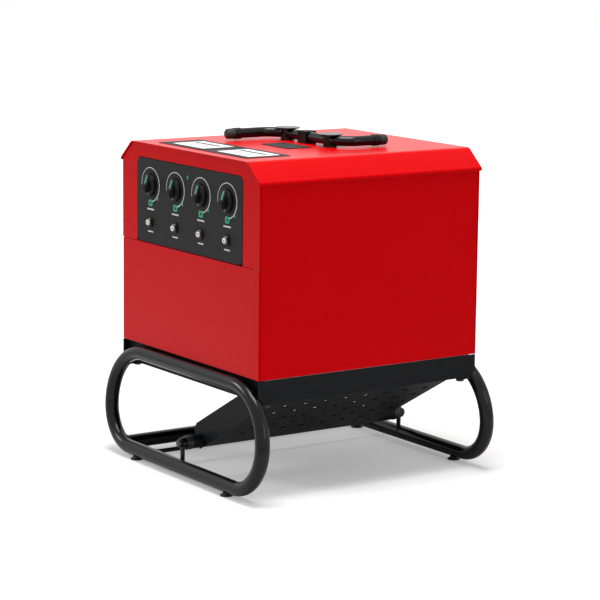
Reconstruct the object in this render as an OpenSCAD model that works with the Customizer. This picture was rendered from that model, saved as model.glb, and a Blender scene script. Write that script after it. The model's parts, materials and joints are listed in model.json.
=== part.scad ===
// Electric air mover: a heated blower cabinet on two tube loops, with a tilting air deflector below.
// Millimetres. +Z up, floor at z = 0, the control panel faces -Y, the cabinet is centred on X and Y.

/* [Cabinet] */
// Width of the cabinet, side face to side face
body_w = 452; // [410:1:545]
// Depth of the cabinet, front face to rear face
body_d = 463; // [440:1:560]
// Height of the tray's underside above the floor
stand_h = 170; // [165:1:200]
// Height of the black base tray
tray_h = 41; // [30:1:60]
// Height of the straight red sides above the tray
side_h = 334; // [310:1:410]
// Thickness of all cabinet sheet
sheet = 2; // [1.5:0.1:2.5]
// Gap at each seam between two cabinet panels
seam = 0.8; // [0.3:0.1:1.5]

/* [Hood] */
// Height of the hood's flat top above the straight sides
roof_rise = 33; // [25:0.5:45]
// Width of the sloped strip along each side of the hood
roof_slope_w = 38; // [25:0.5:50]
// How far the hood stands out over each side face
hood_side = 3; // [2.4:0.1:6]
// How far the hood stands out over the front and rear faces
hood_end = 3; // [0:0.5:10]
// Height of the hood's vertical lip
hood_lip = 5; // [3:0.5:12]
// Outer radius of the bend beside the flat top
roof_bend_r = 14; // [6:1:20]

/* [Control panel] */
// Width of the control panel
panel_w = 347; // [300:1:360]
// Height of the control panel
panel_h = 150; // [140:1:160]
// Corner radius of the control panel
panel_r = 11; // [4:1:16]
// Height of the red lower front panel above the tray
lower_front_h = 188; // [180:1:200]
// Distance between two neighbouring knobs
knob_pitch = 84.5; // [60:0.1:90]
// Height of the knob axes above the control panel's lower edge
knob_up = 104.5; // [90:0.5:110]
// Height of the button axes above the control panel's lower edge
button_up = 37; // [25:1:45]
// Diameter of a knob
knob_d = 41; // [30:1:50]
// Height of a knob off the panel
knob_h = 14; // [12:1:26]
// Diameter of a control's spindle
spindle_d = 6; // [5:0.5:8]
// Diameter of a reset button
button_d = 12; // [9:0.5:14]
// Travel of a reset button
button_travel = 3.5; // [2:0.5:4]

/* [Stand] */
// Diameter of the loop tube
tube_d = 25.4; // [22:0.1:30]
// Wall of the loop tube
tube_wall = 2; // [1.5:0.1:3]
// How far a loop stands out past each side face
loop_over = 39; // [25:0.5:70]
// Height of a loop's top above the floor
loop_top = 207; // [200:1:210]
// Height of the widest place of a loop's ends above the floor
loop_wide_h = 95; // [85:1:112]
// Height of the feet below the loops
foot_h = 6; // [5:0.5:12]
// Diameter of a foot
foot_d = 23; // [18:1:30]
// How far a loop's lower rail stands out beyond its upper rail
loop_splay = 14; // [0:0.5:20]
// Distance of the feet inside the loops' ends
foot_in = 113; // [105:1:160]
// Distance of the frame bolts from the cabinet's side faces
bolt_inset = 13; // [12:0.5:16]
// Thread diameter of the frame bolts and pivot bolts
bolt_d = 8; // [6:1:10]

/* [Deflector] */
// Distance of the deflector's upper edge inside the side face
deflector_edge_in = 7; // [5:0.5:40]
// Distance of the pivot axis to the left of the middle
pivot_left = 6.5; // [0:0.5:40]
// Height of the pivot axis above the floor
pivot_h = 58.5; // [55:0.5:75]
// Distance of the front cheek inside the front face
cheek_in = 32; // [31:0.5:80]
// Distance of the rear cheek inside the rear face
rear_cheek_in = 54; // [31:0.5:80]
// Height of a cheek above the plate's lower face
cheek_h = 45; // [20:1:60]
// Diameter of the tube along the pivot axis
pivot_tube_d = 24; // [20:1:30]
// Diameter of the holes in the plate
hole_d = 11.5; // [6:0.5:16]
// Hole spacing along the pivot axis
hole_pitch = 43; // [25:1:60]
// Row spacing up the slope
row_pitch = 38; // [20:1:50]

/* [Handle] */
// Diameter of the handle bar
handle_d = 18; // [12:0.5:20]
// Clear height under the handle bar
handle_gap = 3; // [3:0.5:40]
// Distance between the two mounting posts
handle_posts_w = 134; // [100:1:160]
// Centreline radius of the handle bar's bends
handle_bend_r = 36; // [25:1:45]
// Straight length of the arm towards the front
handle_front_arm = 56; // [40:1:90]
// Straight length of the arm towards the rear
handle_rear_arm = 42; // [40:1:90]
// Distance of the handle behind the middle
handle_y = 20; // [0:1:40]
// Diameter of the round caps over the posts
cap_d = 45; // [24:1:60]

/* [Fan and heater] */
// Inner diameter of the fan ring
ring_d = 352; // [300:1:360]
// Height of the fan deck above the tray's underside
deck_up = 207; // [190:1:212]
// Height of the fan ring
ring_h = 50; // [40:1:55]
// Diameter of the fan motor
motor_d = 110; // [90:1:130]
// Diameter of the fan shaft
shaft_d = 12; // [8:1:16]
// Number of fan blades
blades = 6; // [3:1:9]
// Height of the heater elements above the tray's underside
heater_up = 117; // [90:1:140]
// Distance between two heater elements
heater_pitch = 80; // [60:1:95]
// Diameter of a heater fin
fin_d = 36; // [24:1:44]

/* [Hidden] */
$fn = 64;

// Colours
red = "#c8101a";
tray_black = "#222325";
tube_black = "#1b1b1d";
panel_grey = "#2e2f31";
knob_black = "#161617";
steel = "#b4b7ba";
zinc = "#9a9da0";
rubber = "#141414";
pale = "#e8e8e6";

// Clearances
fit = 0.05;          // radial, round part in its own bore
slide_fit = 0.3;     // radial, a button in its collar
bolt_fit = 0.3;      // radial, a bolt in a plain hole
seat = 0.3;          // hood over the ends it rests on
eps = 1;             // overshoot of cutting shapes

// Cabinet levels and half sizes
hw = body_w / 2;
hd = body_d / 2;
tray_z = stand_h;
body_z = tray_z + tray_h;
side_z = body_z + side_h;
top_z = side_z + roof_rise;
inner_x = hw - sheet;
inner_y = hd - sheet;

// Hood section
hood_hw = hw + hood_side;
roof_hw = hood_hw - roof_slope_w;
roof_a = atan2(roof_rise, roof_slope_w);
lip_bend_r = 6;
roof_hx = roof_hw - roof_bend_r * tan(roof_a / 2);
lip_hz = side_z - lip_bend_r * tan((90 - roof_a) / 2);
bend_steps = 8;

// Posts in the corners
post_leg = 20;
post_top = side_z - 6;
side_top = side_z - 1.5;
ledge = 12;
seam_z = body_z + lower_front_h;

// Control panel
panel_z = seam_z + 1.6;
panel_face = 0.6;
panel_gap = 1.3;
flange = 7;
knob_z = panel_z + knob_up;
button_z = panel_z + button_up;
front_y = -hd - panel_face;
panel_back = -inner_y + sheet;
knob_gap = 1;
skirt_h = 5;
grip_w = 13;
hub_d = 26;
knob_seat = 9;
bush_d = 9.5;
thermostat = [34, 26, 34];
breaker = [15, 32, 32];
neck_d = button_d + 2 * slide_fit + 2.4;
collar_d = 20;
collar_t = 3;
neck_out = 2;
button_out = 4.8;
button_len = 13;
button_well = 6;
button_room = 0.5;
function control_x(i) = (i - 2.5) * knob_pitch;

// Loops
tube_r = tube_d / 2;
upper_y = hd + 0.8;
lower_y = upper_y + loop_splay;
loop_room = 0.8;
tray_y = upper_y - tube_r;
rail_z = foot_h + tube_r;
upper_z = loop_top - tube_r;
splay_a = atan2(loop_splay, upper_z - rail_z);
low_r = (loop_wide_h - rail_z) / cos(splay_a);
high_r = (upper_z - loop_wide_h) / cos(splay_a);
low_x = hw + loop_over - tube_r - low_r;
high_x = hw + loop_over - tube_r - high_r;
foot_x = hw + loop_over - foot_in;
// Height and distance from the middle of a loop's centreline on its lower bend, at x
function low_bend_z(x) = loop_wide_h - cos(splay_a) * sqrt(low_r * low_r - (x - low_x) * (x - low_x));
function loop_y_at(z) = lower_y - (z - rail_z) * tan(splay_a);
tab_t = 3;
tab_half = 14;
tab_in = 8;
bolt_x = hw - bolt_inset;
bolt_y = hd - 23;
hex_af = 13 * bolt_d / 8;
head_h = 5.5;
nut_h = 6.5;
foot_bore = 2.6;
foot_screw_r = 2.5;
cross_x = low_x + 22;
cross_z = low_bend_z(cross_x);
cross_y = loop_y_at(cross_z);
rod_x = low_x - 75;
rod_d = 8;
rod_z = rail_z + 4.8;

// Outlet in the tray
outlet_in = 32;
guard_rim = 10;
guard_h = 4;
wire_d = 5;
wire_pitch = 25;

// Deflector, in a frame along the slope with its origin on the pivot axis
pivot_x = -pivot_left;
pivot_r = pivot_tube_d / 2;
plate_room = 0.6;
plate_top_z = tray_z - plate_room;
edge_run = hw - deflector_edge_in - pivot_x;
edge_rise = plate_top_z - pivot_h;
tilt = atan2(edge_rise, edge_run) + asin(pivot_r / sqrt(edge_run * edge_run + edge_rise * edge_rise));
slope_l = (edge_rise + pivot_r * cos(tilt)) / sin(tilt);
cheek_y = hd - cheek_in;
rear_cheek_y = hd - rear_cheek_in;
eye_y = lower_y - 8.5;
eye_d = 20;
eye_t = 9;
post_d = 8;
washer_d = 25;
washer_t = 3.4;
washer_gap = 0.6;
washer_n = 3;
bolt_reach = 16;
pivot_half = eye_y - eye_t / 2 - washer_gap - washer_n * (washer_t + washer_gap);
rows = 5;
first_row = 61;

// Handle
handle_r = handle_d / 2;
handle_z = top_z + handle_gap + handle_r;
handle_half = handle_posts_w / 2 + 3;
arm_x = handle_half + handle_bend_r;
arms = [handle_rear_arm, handle_front_arm];
plug_l = 16;
ring_l = 14;
cap_t = 2.2;
post_block_d = 25;
sleeve = [26, 23];

// Labels on the hood
label = [142, 90, 1];
label_gap = 4;
label_front = 20;
label_mid = 9;
spare = [88, 50, 1.2];
spare_at = [21, -42];

// Fan and heater
deck_z = tray_z + deck_up;
fan_y = 8;
ring_wall = 4;
bracket_t = 4;
arm_w = 26;
motor_h = 66;
hub_fan_d = 90;
hub_fan_h = 34;
blade_tip = 4;
blade_t = 3;
blade_w = 58;
pitch_a = 34;
heater_z = tray_z + heater_up;
element_d = 10;
fins = 22;
fin_t = 1.2;
rail_h = 56;
grille_w = 350;
grille_h = 108;
grille_up = 256;
gland_x = 100;
gland_up = 90;
gland_bore = 10.4;
gland_d = 30;

// A shape and its mirror image across X = 0
module both_x() { for (s = [0, 1]) mirror([s, 0, 0]) children(); }
// A shape and its mirror image across Y = 0
module both_y() { for (s = [0, 1]) mirror([0, s, 0]) children(); }
// A cylinder along Y, from y0 to y1
module along_y(d, y0, y1, x = 0, z = 0) {
    translate([x, y1, z]) rotate([90, 0, 0]) cylinder(d = d, h = y1 - y0);
}
// A cylinder along X, from x0 to x1
module along_x(d, x0, x1, y = 0, z = 0) {
    translate([x0, y, z]) rotate([0, 90, 0]) cylinder(d = d, h = x1 - x0);
}
// A box given by its lowest and highest corners
module span(a, b) { translate(a) cube(b - a); }
// A rectangle with round corners, centred in x, standing on y = 0
module round_rect(w, h, r) {
    translate([-w / 2 + r, 0]) square([w - 2 * r, h]);
    translate([-w / 2, r]) square([w, h - 2 * r]);
    for (x = [-w / 2 + r, w / 2 - r], y = [r, h - r]) translate([x, y]) circle(r);
}
// An outline drawn in X and Z, given its thickness from y0 to y1
module wall_xz(y0, y1) {
    translate([0, y1, 0]) rotate([90, 0, 0]) linear_extrude(y1 - y0) children();
}
// A hexagonal prism along Z
module hex(af, h) { cylinder(d = af / cos(30), h = h, $fn = 6); }

// Points of an arc about (x, z)
function arc(x, z, r, a0, a1) =
    [for (i = [0 : bend_steps]) let (a = a0 + (a1 - a0) * i / bend_steps) [x + r * cos(a), z + r * sin(a)]];
// Right half of the roof outline, at a depth d under the hood's outer face, from the top down
function roof_half(d) = concat(
    arc(roof_hx, top_z - roof_bend_r, roof_bend_r - d, 90, 90 - roof_a),
    arc(hood_hw - lip_bend_r, lip_hz, lip_bend_r - d, 90 - roof_a, 0));
// Closed roof outline down to the level low
function roof_outline(d, low) = let (right = roof_half(d), n = len(right)) concat(
    [for (i = [n - 1 : -1 : 0]) [-right[i].x, right[i].y]], right,
    [[hood_hw - d, low], [-hood_hw + d, low]]);
// Face of a front or rear panel under the hood, between the levels low and the roof
module end_face(low) {
    intersection() {
        polygon(roof_outline(sheet + seat, low));
        translate([-hw, low]) square([body_w, top_z - low]);
    }
}

// ---- cabinet ----

module base_tray() {
    color(tray_black) difference() {
        span([-hw, -hd, tray_z], [hw, hd, body_z - seam]);
        span([-inner_x, -tray_y + sheet, tray_z + sheet], [inner_x, tray_y - sheet, body_z + eps]);
        both_y() span([-inner_x, tray_y, tray_z - eps], [inner_x, hd + eps, body_z + eps]);
        both_loops(tube_d + 2 * loop_room);
        span([-hw + outlet_in, -hd + 2 * outlet_in - 18, tray_z - eps],
             [hw - outlet_in, hd - 2 * outlet_in + 18, tray_z + sheet + eps]);
        at_frame_bolts() translate([0, 0, tray_z - eps]) cylinder(r = bolt_d / 2 + bolt_fit, h = sheet + 2 * eps);
    }
}
// Places of the four frame bolts
module at_frame_bolts() { for (x = [-bolt_x, bolt_x], y = [-bolt_y, bolt_y]) translate([x, y, 0]) children(); }

module outlet_guard() {
    gx = hw - outlet_in;
    gy = hd - 2 * outlet_in + 18;
    z = tray_z + sheet;
    n = floor((2 * gy - wire_pitch) / wire_pitch / 2);
    color(zinc) {
        difference() {
            span([-gx - guard_rim, -gy - guard_rim, z], [gx + guard_rim, gy + guard_rim, z + guard_h]);
            span([-gx, -gy, z - eps], [gx, gy, z + guard_h + eps]);
            at_frame_bolts() translate([0, 0, z - eps]) cylinder(d = hex_af / cos(30) + 2, h = guard_h + 2 * eps);
        }
        for (i = [-n : n]) along_x(wire_d, -gx - guard_rim / 2, gx + guard_rim / 2, i * wire_pitch, z + guard_h);
    }
}

module front_lower_panel() {
    color(red) {
        span([-hw, -hd, body_z], [hw, -inner_y, seam_z]);
        span([-hw + post_leg + 2 * sheet, -inner_y, seam_z - sheet],
             [hw - post_leg - 2 * sheet, -inner_y + ledge, seam_z]);
    }
}

module front_upper_frame() {
    color(red) wall_xz(-hd, -inner_y) difference() {
        end_face(seam_z + seam);
        translate([0, panel_z - panel_gap]) round_rect(panel_w + 2 * panel_gap, panel_h + 2 * panel_gap, panel_r + panel_gap);
        translate([-panel_w / 2 - panel_gap, seam_z - eps]) square([panel_w + 2 * panel_gap, panel_r + eps]);
    }
}

module side_panel() {
    color(red) {
        span([inner_x, -inner_y + seam / 2, body_z], [hw, inner_y - seam / 2, side_top]);
        span([inner_x - ledge, -inner_y + post_leg + sheet, side_top - sheet],
             [inner_x, inner_y - post_leg - sheet, side_top]);
    }
}
module side_panel_right() { side_panel(); }
module side_panel_left() { mirror([1, 0, 0]) side_panel(); }

module rear_panel() {
    color(red) difference() {
        wall_xz(inner_y, hd) end_face(body_z);
        span([-grille_w / 2, inner_y - eps, body_z + grille_up - grille_h / 2],
             [grille_w / 2, hd + eps, body_z + grille_up + grille_h / 2]);
        at_glands() along_y(gland_d - 8 + 2 * bolt_fit, inner_y - eps, hd + eps);
        at_rear_screws() along_y(4 + 2 * bolt_fit, inner_y - eps, hd + eps);
        at_grille_screws() along_y(4 + 2 * bolt_fit, inner_y - eps, hd + eps);
    }
}
module at_glands() { for (x = [-gland_x, gland_x]) translate([x, 0, tray_z + gland_up]) children(); }
module at_rear_screws() {
    for (x = [-1, 1], k = [0 : 3])
        translate([x * (inner_x - post_leg / 2), 0, body_z + 30 + k * (side_h - 60) / 3]) children();
}
module at_grille_screws() {
    for (x = [-1, 1], z = [-1, 1])
        translate([x * (grille_w / 2 + 7), 0, body_z + grille_up + z * (grille_h / 2 - 8)]) children();
}

module rear_grille() {
    slots = 9;
    slot_h = 6;
    step = (grille_h - 8) / slots;
    color(tray_black) difference() {
        wall_xz(hd, hd + sheet) translate([0, body_z + grille_up - grille_h / 2 - 8])
            round_rect(grille_w + 28, grille_h + 16, 6);
        for (k = [0 : slots - 1], x = [-1, 1])
            wall_xz(hd - eps, hd + sheet + eps)
                translate([x * grille_w / 4, body_z + grille_up - grille_h / 2 + 4 + (k + 0.5) * step - slot_h / 2])
                    round_rect(grille_w / 2 - 14, slot_h, slot_h / 2 - 0.1);
        at_grille_screws() along_y(4 + 2 * bolt_fit, hd - eps, hd + sheet + eps);
    }
}

module rear_screws() {
    color(zinc) {
        at_rear_screws() screw_y(hd);
        at_grille_screws() screw_y(hd + sheet);
    }
}
// Pan-head screw along Y, head seated on the plane y
module screw_y(y) {
    along_y(7.5, y, y + 2.2);
    along_y(4, inner_y - 5, y);
}

module top_hood() {
    color(red) difference() {
        wall_xz(-hd - hood_end, hd + hood_end) difference() {
            polygon(roof_outline(0, side_z - hood_lip));
            polygon(roof_outline(sheet, side_z - hood_lip - eps));
        }
        at_handle_posts() translate([0, 0, top_z - sheet - eps]) cylinder(r = 2.5 + bolt_fit, h = sheet + 2 * eps);
    }
}

module corner_posts() {
    z0 = tray_z + sheet;
    color(zinc) both_x() both_y() difference() {
        span([inner_x - post_leg, inner_y - post_leg, z0], [inner_x, inner_y, post_top]);
        span([inner_x - post_leg - eps, inner_y - post_leg - eps, z0 - eps],
             [inner_x - sheet, inner_y - sheet, post_top + eps]);
        span([inner_x - post_leg - eps, tray_y - sheet - seat, z0 - eps], [inner_x + eps, inner_y + eps, body_z]);
        at_rear_screws() along_y(4 + 2 * fit, inner_y - post_leg, inner_y + eps);
    }
}

// ---- control panel ----

module control_panel() {
    color(panel_grey) difference() {
        union() {
            wall_xz(front_y, -inner_y) translate([0, panel_z]) round_rect(panel_w, panel_h, panel_r);
            wall_xz(-inner_y, panel_back) translate([0, panel_z + 0.4])
                round_rect(panel_w + 2 * flange, panel_h + flange, panel_r);
        }
        for (i = [1 : 4]) {
            along_y(bush_d + 2 * bolt_fit, front_y - eps, panel_back + eps, control_x(i), knob_z);
            along_y(neck_d + 2 * bolt_fit, front_y - eps, panel_back + eps, control_x(i), button_z);
        }
    }
}

module knob(i) {
    y0 = front_y - knob_gap;
    x = control_x(i);
    color(knob_black) difference() {
        union() {
            along_y(knob_d, y0 - skirt_h, y0, x, knob_z);
            along_y(hub_d, y0 - skirt_h - 3, y0 - skirt_h, x, knob_z);
            intersection() {
                along_y(knob_d - 2, y0 - knob_h, y0 - skirt_h, x, knob_z);
                span([x - grip_w / 2, y0 - knob_h, knob_z - knob_d], [x + grip_w / 2, y0 - skirt_h, knob_z + knob_d]);
            }
        }
        along_y(spindle_d + 2 * fit, y0 - knob_seat, y0 + eps, x, knob_z);
    }
}
module knob_1() { knob(1); }
module knob_2() { knob(2); }
module knob_3() { knob(3); }
module knob_4() { knob(4); }

module spindle(i) {
    color(zinc) along_y(spindle_d, front_y - knob_gap - knob_seat + 0.2, panel_back + 14, control_x(i), knob_z);
}
module spindle_1() { spindle(1); }
module spindle_2() { spindle(2); }
module spindle_3() { spindle(3); }
module spindle_4() { spindle(4); }

module thermostats() {
    color(tray_black) for (i = [1 : 4]) difference() {
        union() {
            translate([control_x(i) - thermostat.x / 2, panel_back, knob_z - thermostat.z / 2]) cube(thermostat);
            along_y(bush_d, front_y + 0.2, panel_back, control_x(i), knob_z);
        }
        along_y(spindle_d + 2 * fit, front_y - eps, panel_back + 14.4, control_x(i), knob_z);
    }
}

module reset_button(i) {
    color(pale) along_y(button_d, front_y - collar_t - button_out, front_y - collar_t - button_out + button_len,
                        control_x(i), button_z);
}
module reset_button_1() { reset_button(1); }
module reset_button_2() { reset_button(2); }
module reset_button_3() { reset_button(3); }
module reset_button_4() { reset_button(4); }

module breakers() {
    back = front_y - collar_t - button_out + button_len + button_travel + button_room;
    color(knob_black) for (i = [1 : 4]) difference() {
        union() {
            translate([control_x(i) - breaker.x / 2 - 2, panel_back, button_z - breaker.z / 2])
                cube([breaker.x + 4, breaker.y, breaker.z]);
            along_y(neck_d, front_y - collar_t - neck_out, panel_back, control_x(i), button_z);
        }
        along_y(button_d + 2 * slide_fit, front_y - collar_t - neck_out - eps, back + button_well, control_x(i), button_z);
    }
}

module button_collars() {
    color(knob_black) for (i = [1 : 4]) difference() {
        along_y(collar_d, front_y - collar_t, front_y, control_x(i), button_z);
        along_y(neck_d + 2 * fit, front_y - collar_t - eps, front_y + eps, control_x(i), button_z);
    }
}

// ---- stand ----

// Solid of the front loop, made of round bar of diameter d: built upright about its upper rail, then splayed
module loop_bar(d) {
    translate([0, -upper_y, upper_z]) rotate([-splay_a, 0, 0]) {
        along_x(d, -high_x, high_x);
        along_x(d, -low_x, low_x, 0, -high_r - low_r);
        both_x() {
            translate([low_x, 0, -high_r]) rotate([90, 0, 0]) rotate([0, 0, -90])
                rotate_extrude(angle = 90) translate([low_r, 0]) circle(d = d);
            translate([high_x, 0, -high_r]) rotate([90, 0, 0])
                rotate_extrude(angle = 90) translate([high_r, 0]) circle(d = d);
        }
    }
}
module both_loops(d) { both_y() loop_bar(d); }

module front_loop() {
    color(tube_black) difference() {
        loop_bar(tube_d);
        loop_bar(tube_d - 2 * tube_wall);
        for (x = [-foot_x, foot_x]) translate([x, -lower_y, 0]) cylinder(r = foot_bore, h = rail_z);
    }
}
module rear_loop() { mirror([0, 1, 0]) front_loop(); }

module loop_tabs() {
    color(tube_black) difference() {
        both_x() both_y() difference() {
            span([bolt_x - tab_half, bolt_y - tab_in, tray_z - tab_t], [bolt_x + tab_half, upper_y + 5, tray_z]);
            translate([bolt_x, bolt_y, tray_z - tab_t - eps]) cylinder(r = bolt_d / 2 + bolt_fit, h = tab_t + 2 * eps);
        }
        both_loops(tube_d);
    }
}

module frame_bolts() {
    color(zinc) at_frame_bolts() {
        translate([0, 0, tray_z - tab_t - head_h]) hex(hex_af, head_h);
        translate([0, 0, tray_z - tab_t]) cylinder(d = bolt_d, h = tab_t + sheet + nut_h + 3);
    }
}

module frame_nuts() {
    color(zinc) at_frame_bolts() translate([0, 0, tray_z + sheet]) difference() {
        hex(hex_af, nut_h);
        translate([0, 0, -eps]) cylinder(r = bolt_d / 2 + fit, h = nut_h + 2 * eps);
    }
}

// Places of the four feet
module at_feet() { for (x = [-foot_x, foot_x], y = [-lower_y, lower_y]) translate([x, y, 0]) children(); }

module feet() {
    color(rubber) difference() {
        at_feet() difference() {
            cylinder(d = foot_d, h = foot_h + 3.5);
            translate([0, 0, -eps]) cylinder(r = foot_screw_r + fit, h = foot_h + 3);
            translate([0, 0, -eps]) cylinder(r = foot_screw_r + 2.2, h = eps + 3.2);
        }
        both_loops(tube_d);
    }
}

module foot_screws() {
    color(zinc) at_feet() {
        translate([0, 0, 1]) cylinder(r = foot_screw_r + 2, h = 2.2);
        translate([0, 0, 3.2]) cylinder(r = foot_screw_r, h = foot_h + tube_wall + 4 - 3.2);
    }
}

module cross_tube() {
    color(tube_black) difference() {
        along_y(tube_d, -cross_y, cross_y, -cross_x, cross_z);
        along_y(tube_d - 2 * tube_wall, -cross_y - eps, cross_y + eps, -cross_x, cross_z);
        both_loops(tube_d);
    }
}

module tie_rod() {
    color(tube_black) difference() {
        along_y(rod_d, -lower_y, lower_y, -rod_x, rod_z);
        both_loops(tube_d);
    }
}

// ---- deflector ----

// Moves a shape from the slope's frame (x up the slope, z square to it) to its place
module on_slope() { translate([pivot_x, 0, pivot_h]) rotate([0, -tilt, 0]) children(); }

module deflector() {
    low = -pivot_r;
    color(tray_black) difference() {
        on_slope() union() {
            span([0, -cheek_y, low], [slope_l, rear_cheek_y, low + sheet]);
            for (y = [-cheek_y, rear_cheek_y - sheet]) wall_xz(y, y + sheet)
                polygon([[-pivot_r, low + cheek_h - 8], [-pivot_r, low], [slope_l, low],
                         [slope_l + cheek_h, low + cheek_h], [-pivot_r + 12, low + cheek_h]]);
        }
        span([-hw, -hd, plate_top_z], [hw + cheek_h, hd, side_z]);
        along_y(pivot_tube_d + 2 * fit, -hd, hd, pivot_x, pivot_h);
        on_slope() for (r = [0 : rows - 1]) deflector_holes(first_row + r * row_pitch, low);
    }
}
// One row of holes at the distance s up the slope, in the plate whose lower face is at low
module deflector_holes(s, low) {
    n = floor((min(cheek_y, rear_cheek_y) - hole_d) / hole_pitch + 0.5);
    for (k = [-n : n - 1])
        translate([s, (k + 0.5) * hole_pitch, low - eps]) cylinder(d = hole_d, h = sheet + 2 * eps, $fn = 32);
}

module pivot_tube() {
    color(tray_black) difference() {
        along_y(pivot_tube_d, -pivot_half, pivot_half, pivot_x, pivot_h);
        along_y(pivot_tube_d - 4, -pivot_half + bolt_reach, pivot_half - bolt_reach, pivot_x, pivot_h);
        along_y(bolt_d + 2 * fit, -pivot_half - eps, pivot_half + eps, pivot_x, pivot_h);
    }
}

module pivot_posts() {
    color(tube_black) difference() {
        both_y() {
            along_y(eye_d, eye_y - eye_t / 2, eye_y + eye_t / 2, pivot_x, pivot_h);
            translate([pivot_x, eye_y, rail_z]) cylinder(d = post_d, h = pivot_h - rail_z);
        }
        along_y(bolt_d + 2 * bolt_fit, -hd - tube_d, hd + tube_d, pivot_x, pivot_h);
        both_loops(tube_d);
    }
}

module pivot_bolts() {
    head_y = eye_y + eye_t / 2;
    color(tube_black) both_y() {
        translate([pivot_x, head_y, pivot_h]) rotate([-90, 0, 0]) hex(hex_af, head_h);
        along_y(bolt_d, pivot_half - bolt_reach + 2, head_y, pivot_x, pivot_h);
    }
}

module pivot_washers() {
    color(tube_black) both_y() for (k = [0 : washer_n - 1]) {
        y0 = pivot_half + washer_gap / 2 + k * (washer_t + washer_gap);
        difference() {
            along_y(washer_d, y0, y0 + washer_t, pivot_x, pivot_h);
            along_y(bolt_d + 2 * fit, y0 - eps, y0 + washer_t + eps, pivot_x, pivot_h);
        }
    }
}

// ---- handle and plates on the hood ----

// Half of the handle bar's centreline swept with diameter d, with the arm of length arm towards +Y
module handle_half_bar(d, arm) {
    along_x(d, 0, handle_half);
    translate([handle_half, handle_bend_r, 0]) rotate([0, 0, -90])
        rotate_extrude(angle = 90) translate([handle_bend_r, 0]) circle(d = d);
    along_y(d, handle_bend_r, handle_bend_r + arm, arm_x);
}
// Places of the two handle posts, at the level z = 0
module at_handle_posts() {
    for (s = [-1, 1]) translate([s * handle_posts_w / 2, handle_y, 0]) children();
}
// The frame of one half of the handle: half 0 has the rear arm, half 1 is turned about and has the front arm
module at_half(k) { translate([0, handle_y, handle_z]) rotate([0, 0, 180 * k]) children(); }
module handle_pair() { for (k = [0, 1]) at_half(k) children(); }

module handle_bar() {
    color(tube_black) difference() {
        for (k = [0, 1]) at_half(k) handle_half_bar(handle_d, arms[k]);
        handle_pair() translate([handle_posts_w / 2, 0, -handle_r - eps]) cylinder(r = 2.5 + fit, h = handle_r + eps);
    }
}

module handle_end_plugs() {
    color(rubber) for (k = [0, 1]) at_half(k) translate([arm_x, handle_bend_r + arms[k], 0]) {
        along_y(handle_d + 1, 0, plug_l - 4);
        intersection() {
            translate([0, plug_l - 4 - handle_r, 0]) sphere(r = norm([handle_r, (handle_d + 1) / 2]));
            along_y(handle_d + 1, plug_l - 4, plug_l);
        }
    }
}

module handle_collars() {
    color(tube_black) for (k = [0, 1]) at_half(k) translate([arm_x, handle_bend_r + arms[k], 0]) difference() {
        along_y(handle_d + 2.6, -ring_l - 1, -1);
        along_y(handle_d + 2 * fit, -ring_l - 2, 0);
    }
}

module handle_posts() {
    color(tube_black) difference() {
        handle_pair() translate([handle_posts_w / 2, 0, -handle_r - handle_gap])
            cylinder(d = post_block_d, h = handle_gap + 2 * handle_r);
        translate([0, handle_y, handle_z]) {
            along_x(handle_d + 2 * fit, -arm_x, arm_x);
            for (a = [0, 180]) rotate([0, 0, a])
                translate([handle_half, handle_bend_r, 0]) rotate([0, 0, -90]) rotate_extrude(angle = 90)
                    translate([handle_bend_r, 0]) circle(d = handle_d + 2 * fit);
        }
        handle_pair() translate([handle_posts_w / 2, 0, -handle_r - handle_gap - eps])
            cylinder(r = 2.5 + fit, h = handle_gap + 2 * eps + 2);
    }
}

module handle_caps() {
    color(tube_black) handle_pair() translate([handle_posts_w / 2, 0, handle_r]) cylinder(d = cap_d, h = cap_t);
}

module handle_sleeve() {
    color(knob_black) translate([-5, handle_y, 0]) difference() {
        span([-sleeve.x / 2, -sleeve.y / 2, top_z], [sleeve.x / 2, sleeve.y / 2, handle_z + handle_r + 1.2]);
        along_x(handle_d + 2 * fit, -sleeve.x, sleeve.x, 0, handle_z);
    }
}

module handle_screws() {
    color(zinc) handle_pair() {
        translate([handle_posts_w / 2, 0, -handle_r - handle_gap - sheet - 3]) cylinder(d = 9, h = 3);
        translate([handle_posts_w / 2, 0, -handle_r - handle_gap - sheet]) cylinder(r = 2.5, h = sheet + handle_gap + 5);
    }
}

module top_labels() {
    color(panel_grey) translate([label_mid, -hd + label_front, top_z]) both_x() translate([label_gap / 2, 0, 0]) cube(label);
}

module blank_plate() {
    color(panel_grey) translate([spare_at.x - spare.x / 2, spare_at.y - spare.y / 2, top_z]) cube(spare);
}

// ---- fan and heater ----

module fan_shroud() {
    color(zinc) difference() {
        union() {
            span([-inner_x, -inner_y, deck_z], [inner_x, inner_y, deck_z + sheet]);
            translate([0, fan_y, deck_z]) cylinder(d = ring_d + 2 * ring_wall, h = ring_h, $fn = 96);
        }
        translate([0, fan_y, deck_z - eps]) cylinder(d = ring_d, h = ring_h + 2 * eps, $fn = 96);
        both_x() both_y()
            translate([inner_x - post_leg - seat, inner_y - post_leg - seat, deck_z - eps])
                cube([post_leg + seat + eps, post_leg + seat + eps, sheet + 2 * eps]);
    }
}

module motor_bracket() {
    z = deck_z + ring_h;
    color(zinc) translate([0, fan_y, z]) difference() {
        union() {
            for (a = [45, 135]) rotate([0, 0, a]) intersection() {
                translate([-ring_d, -arm_w / 2, 0]) cube([2 * ring_d, arm_w, bracket_t]);
                cylinder(d = ring_d + 2 * ring_wall, h = bracket_t, $fn = 96);
            }
            cylinder(d = motor_d + 10, h = bracket_t);
        }
        translate([0, 0, -eps]) cylinder(d = shaft_d + 8, h = bracket_t + 2 * eps);
    }
}

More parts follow.
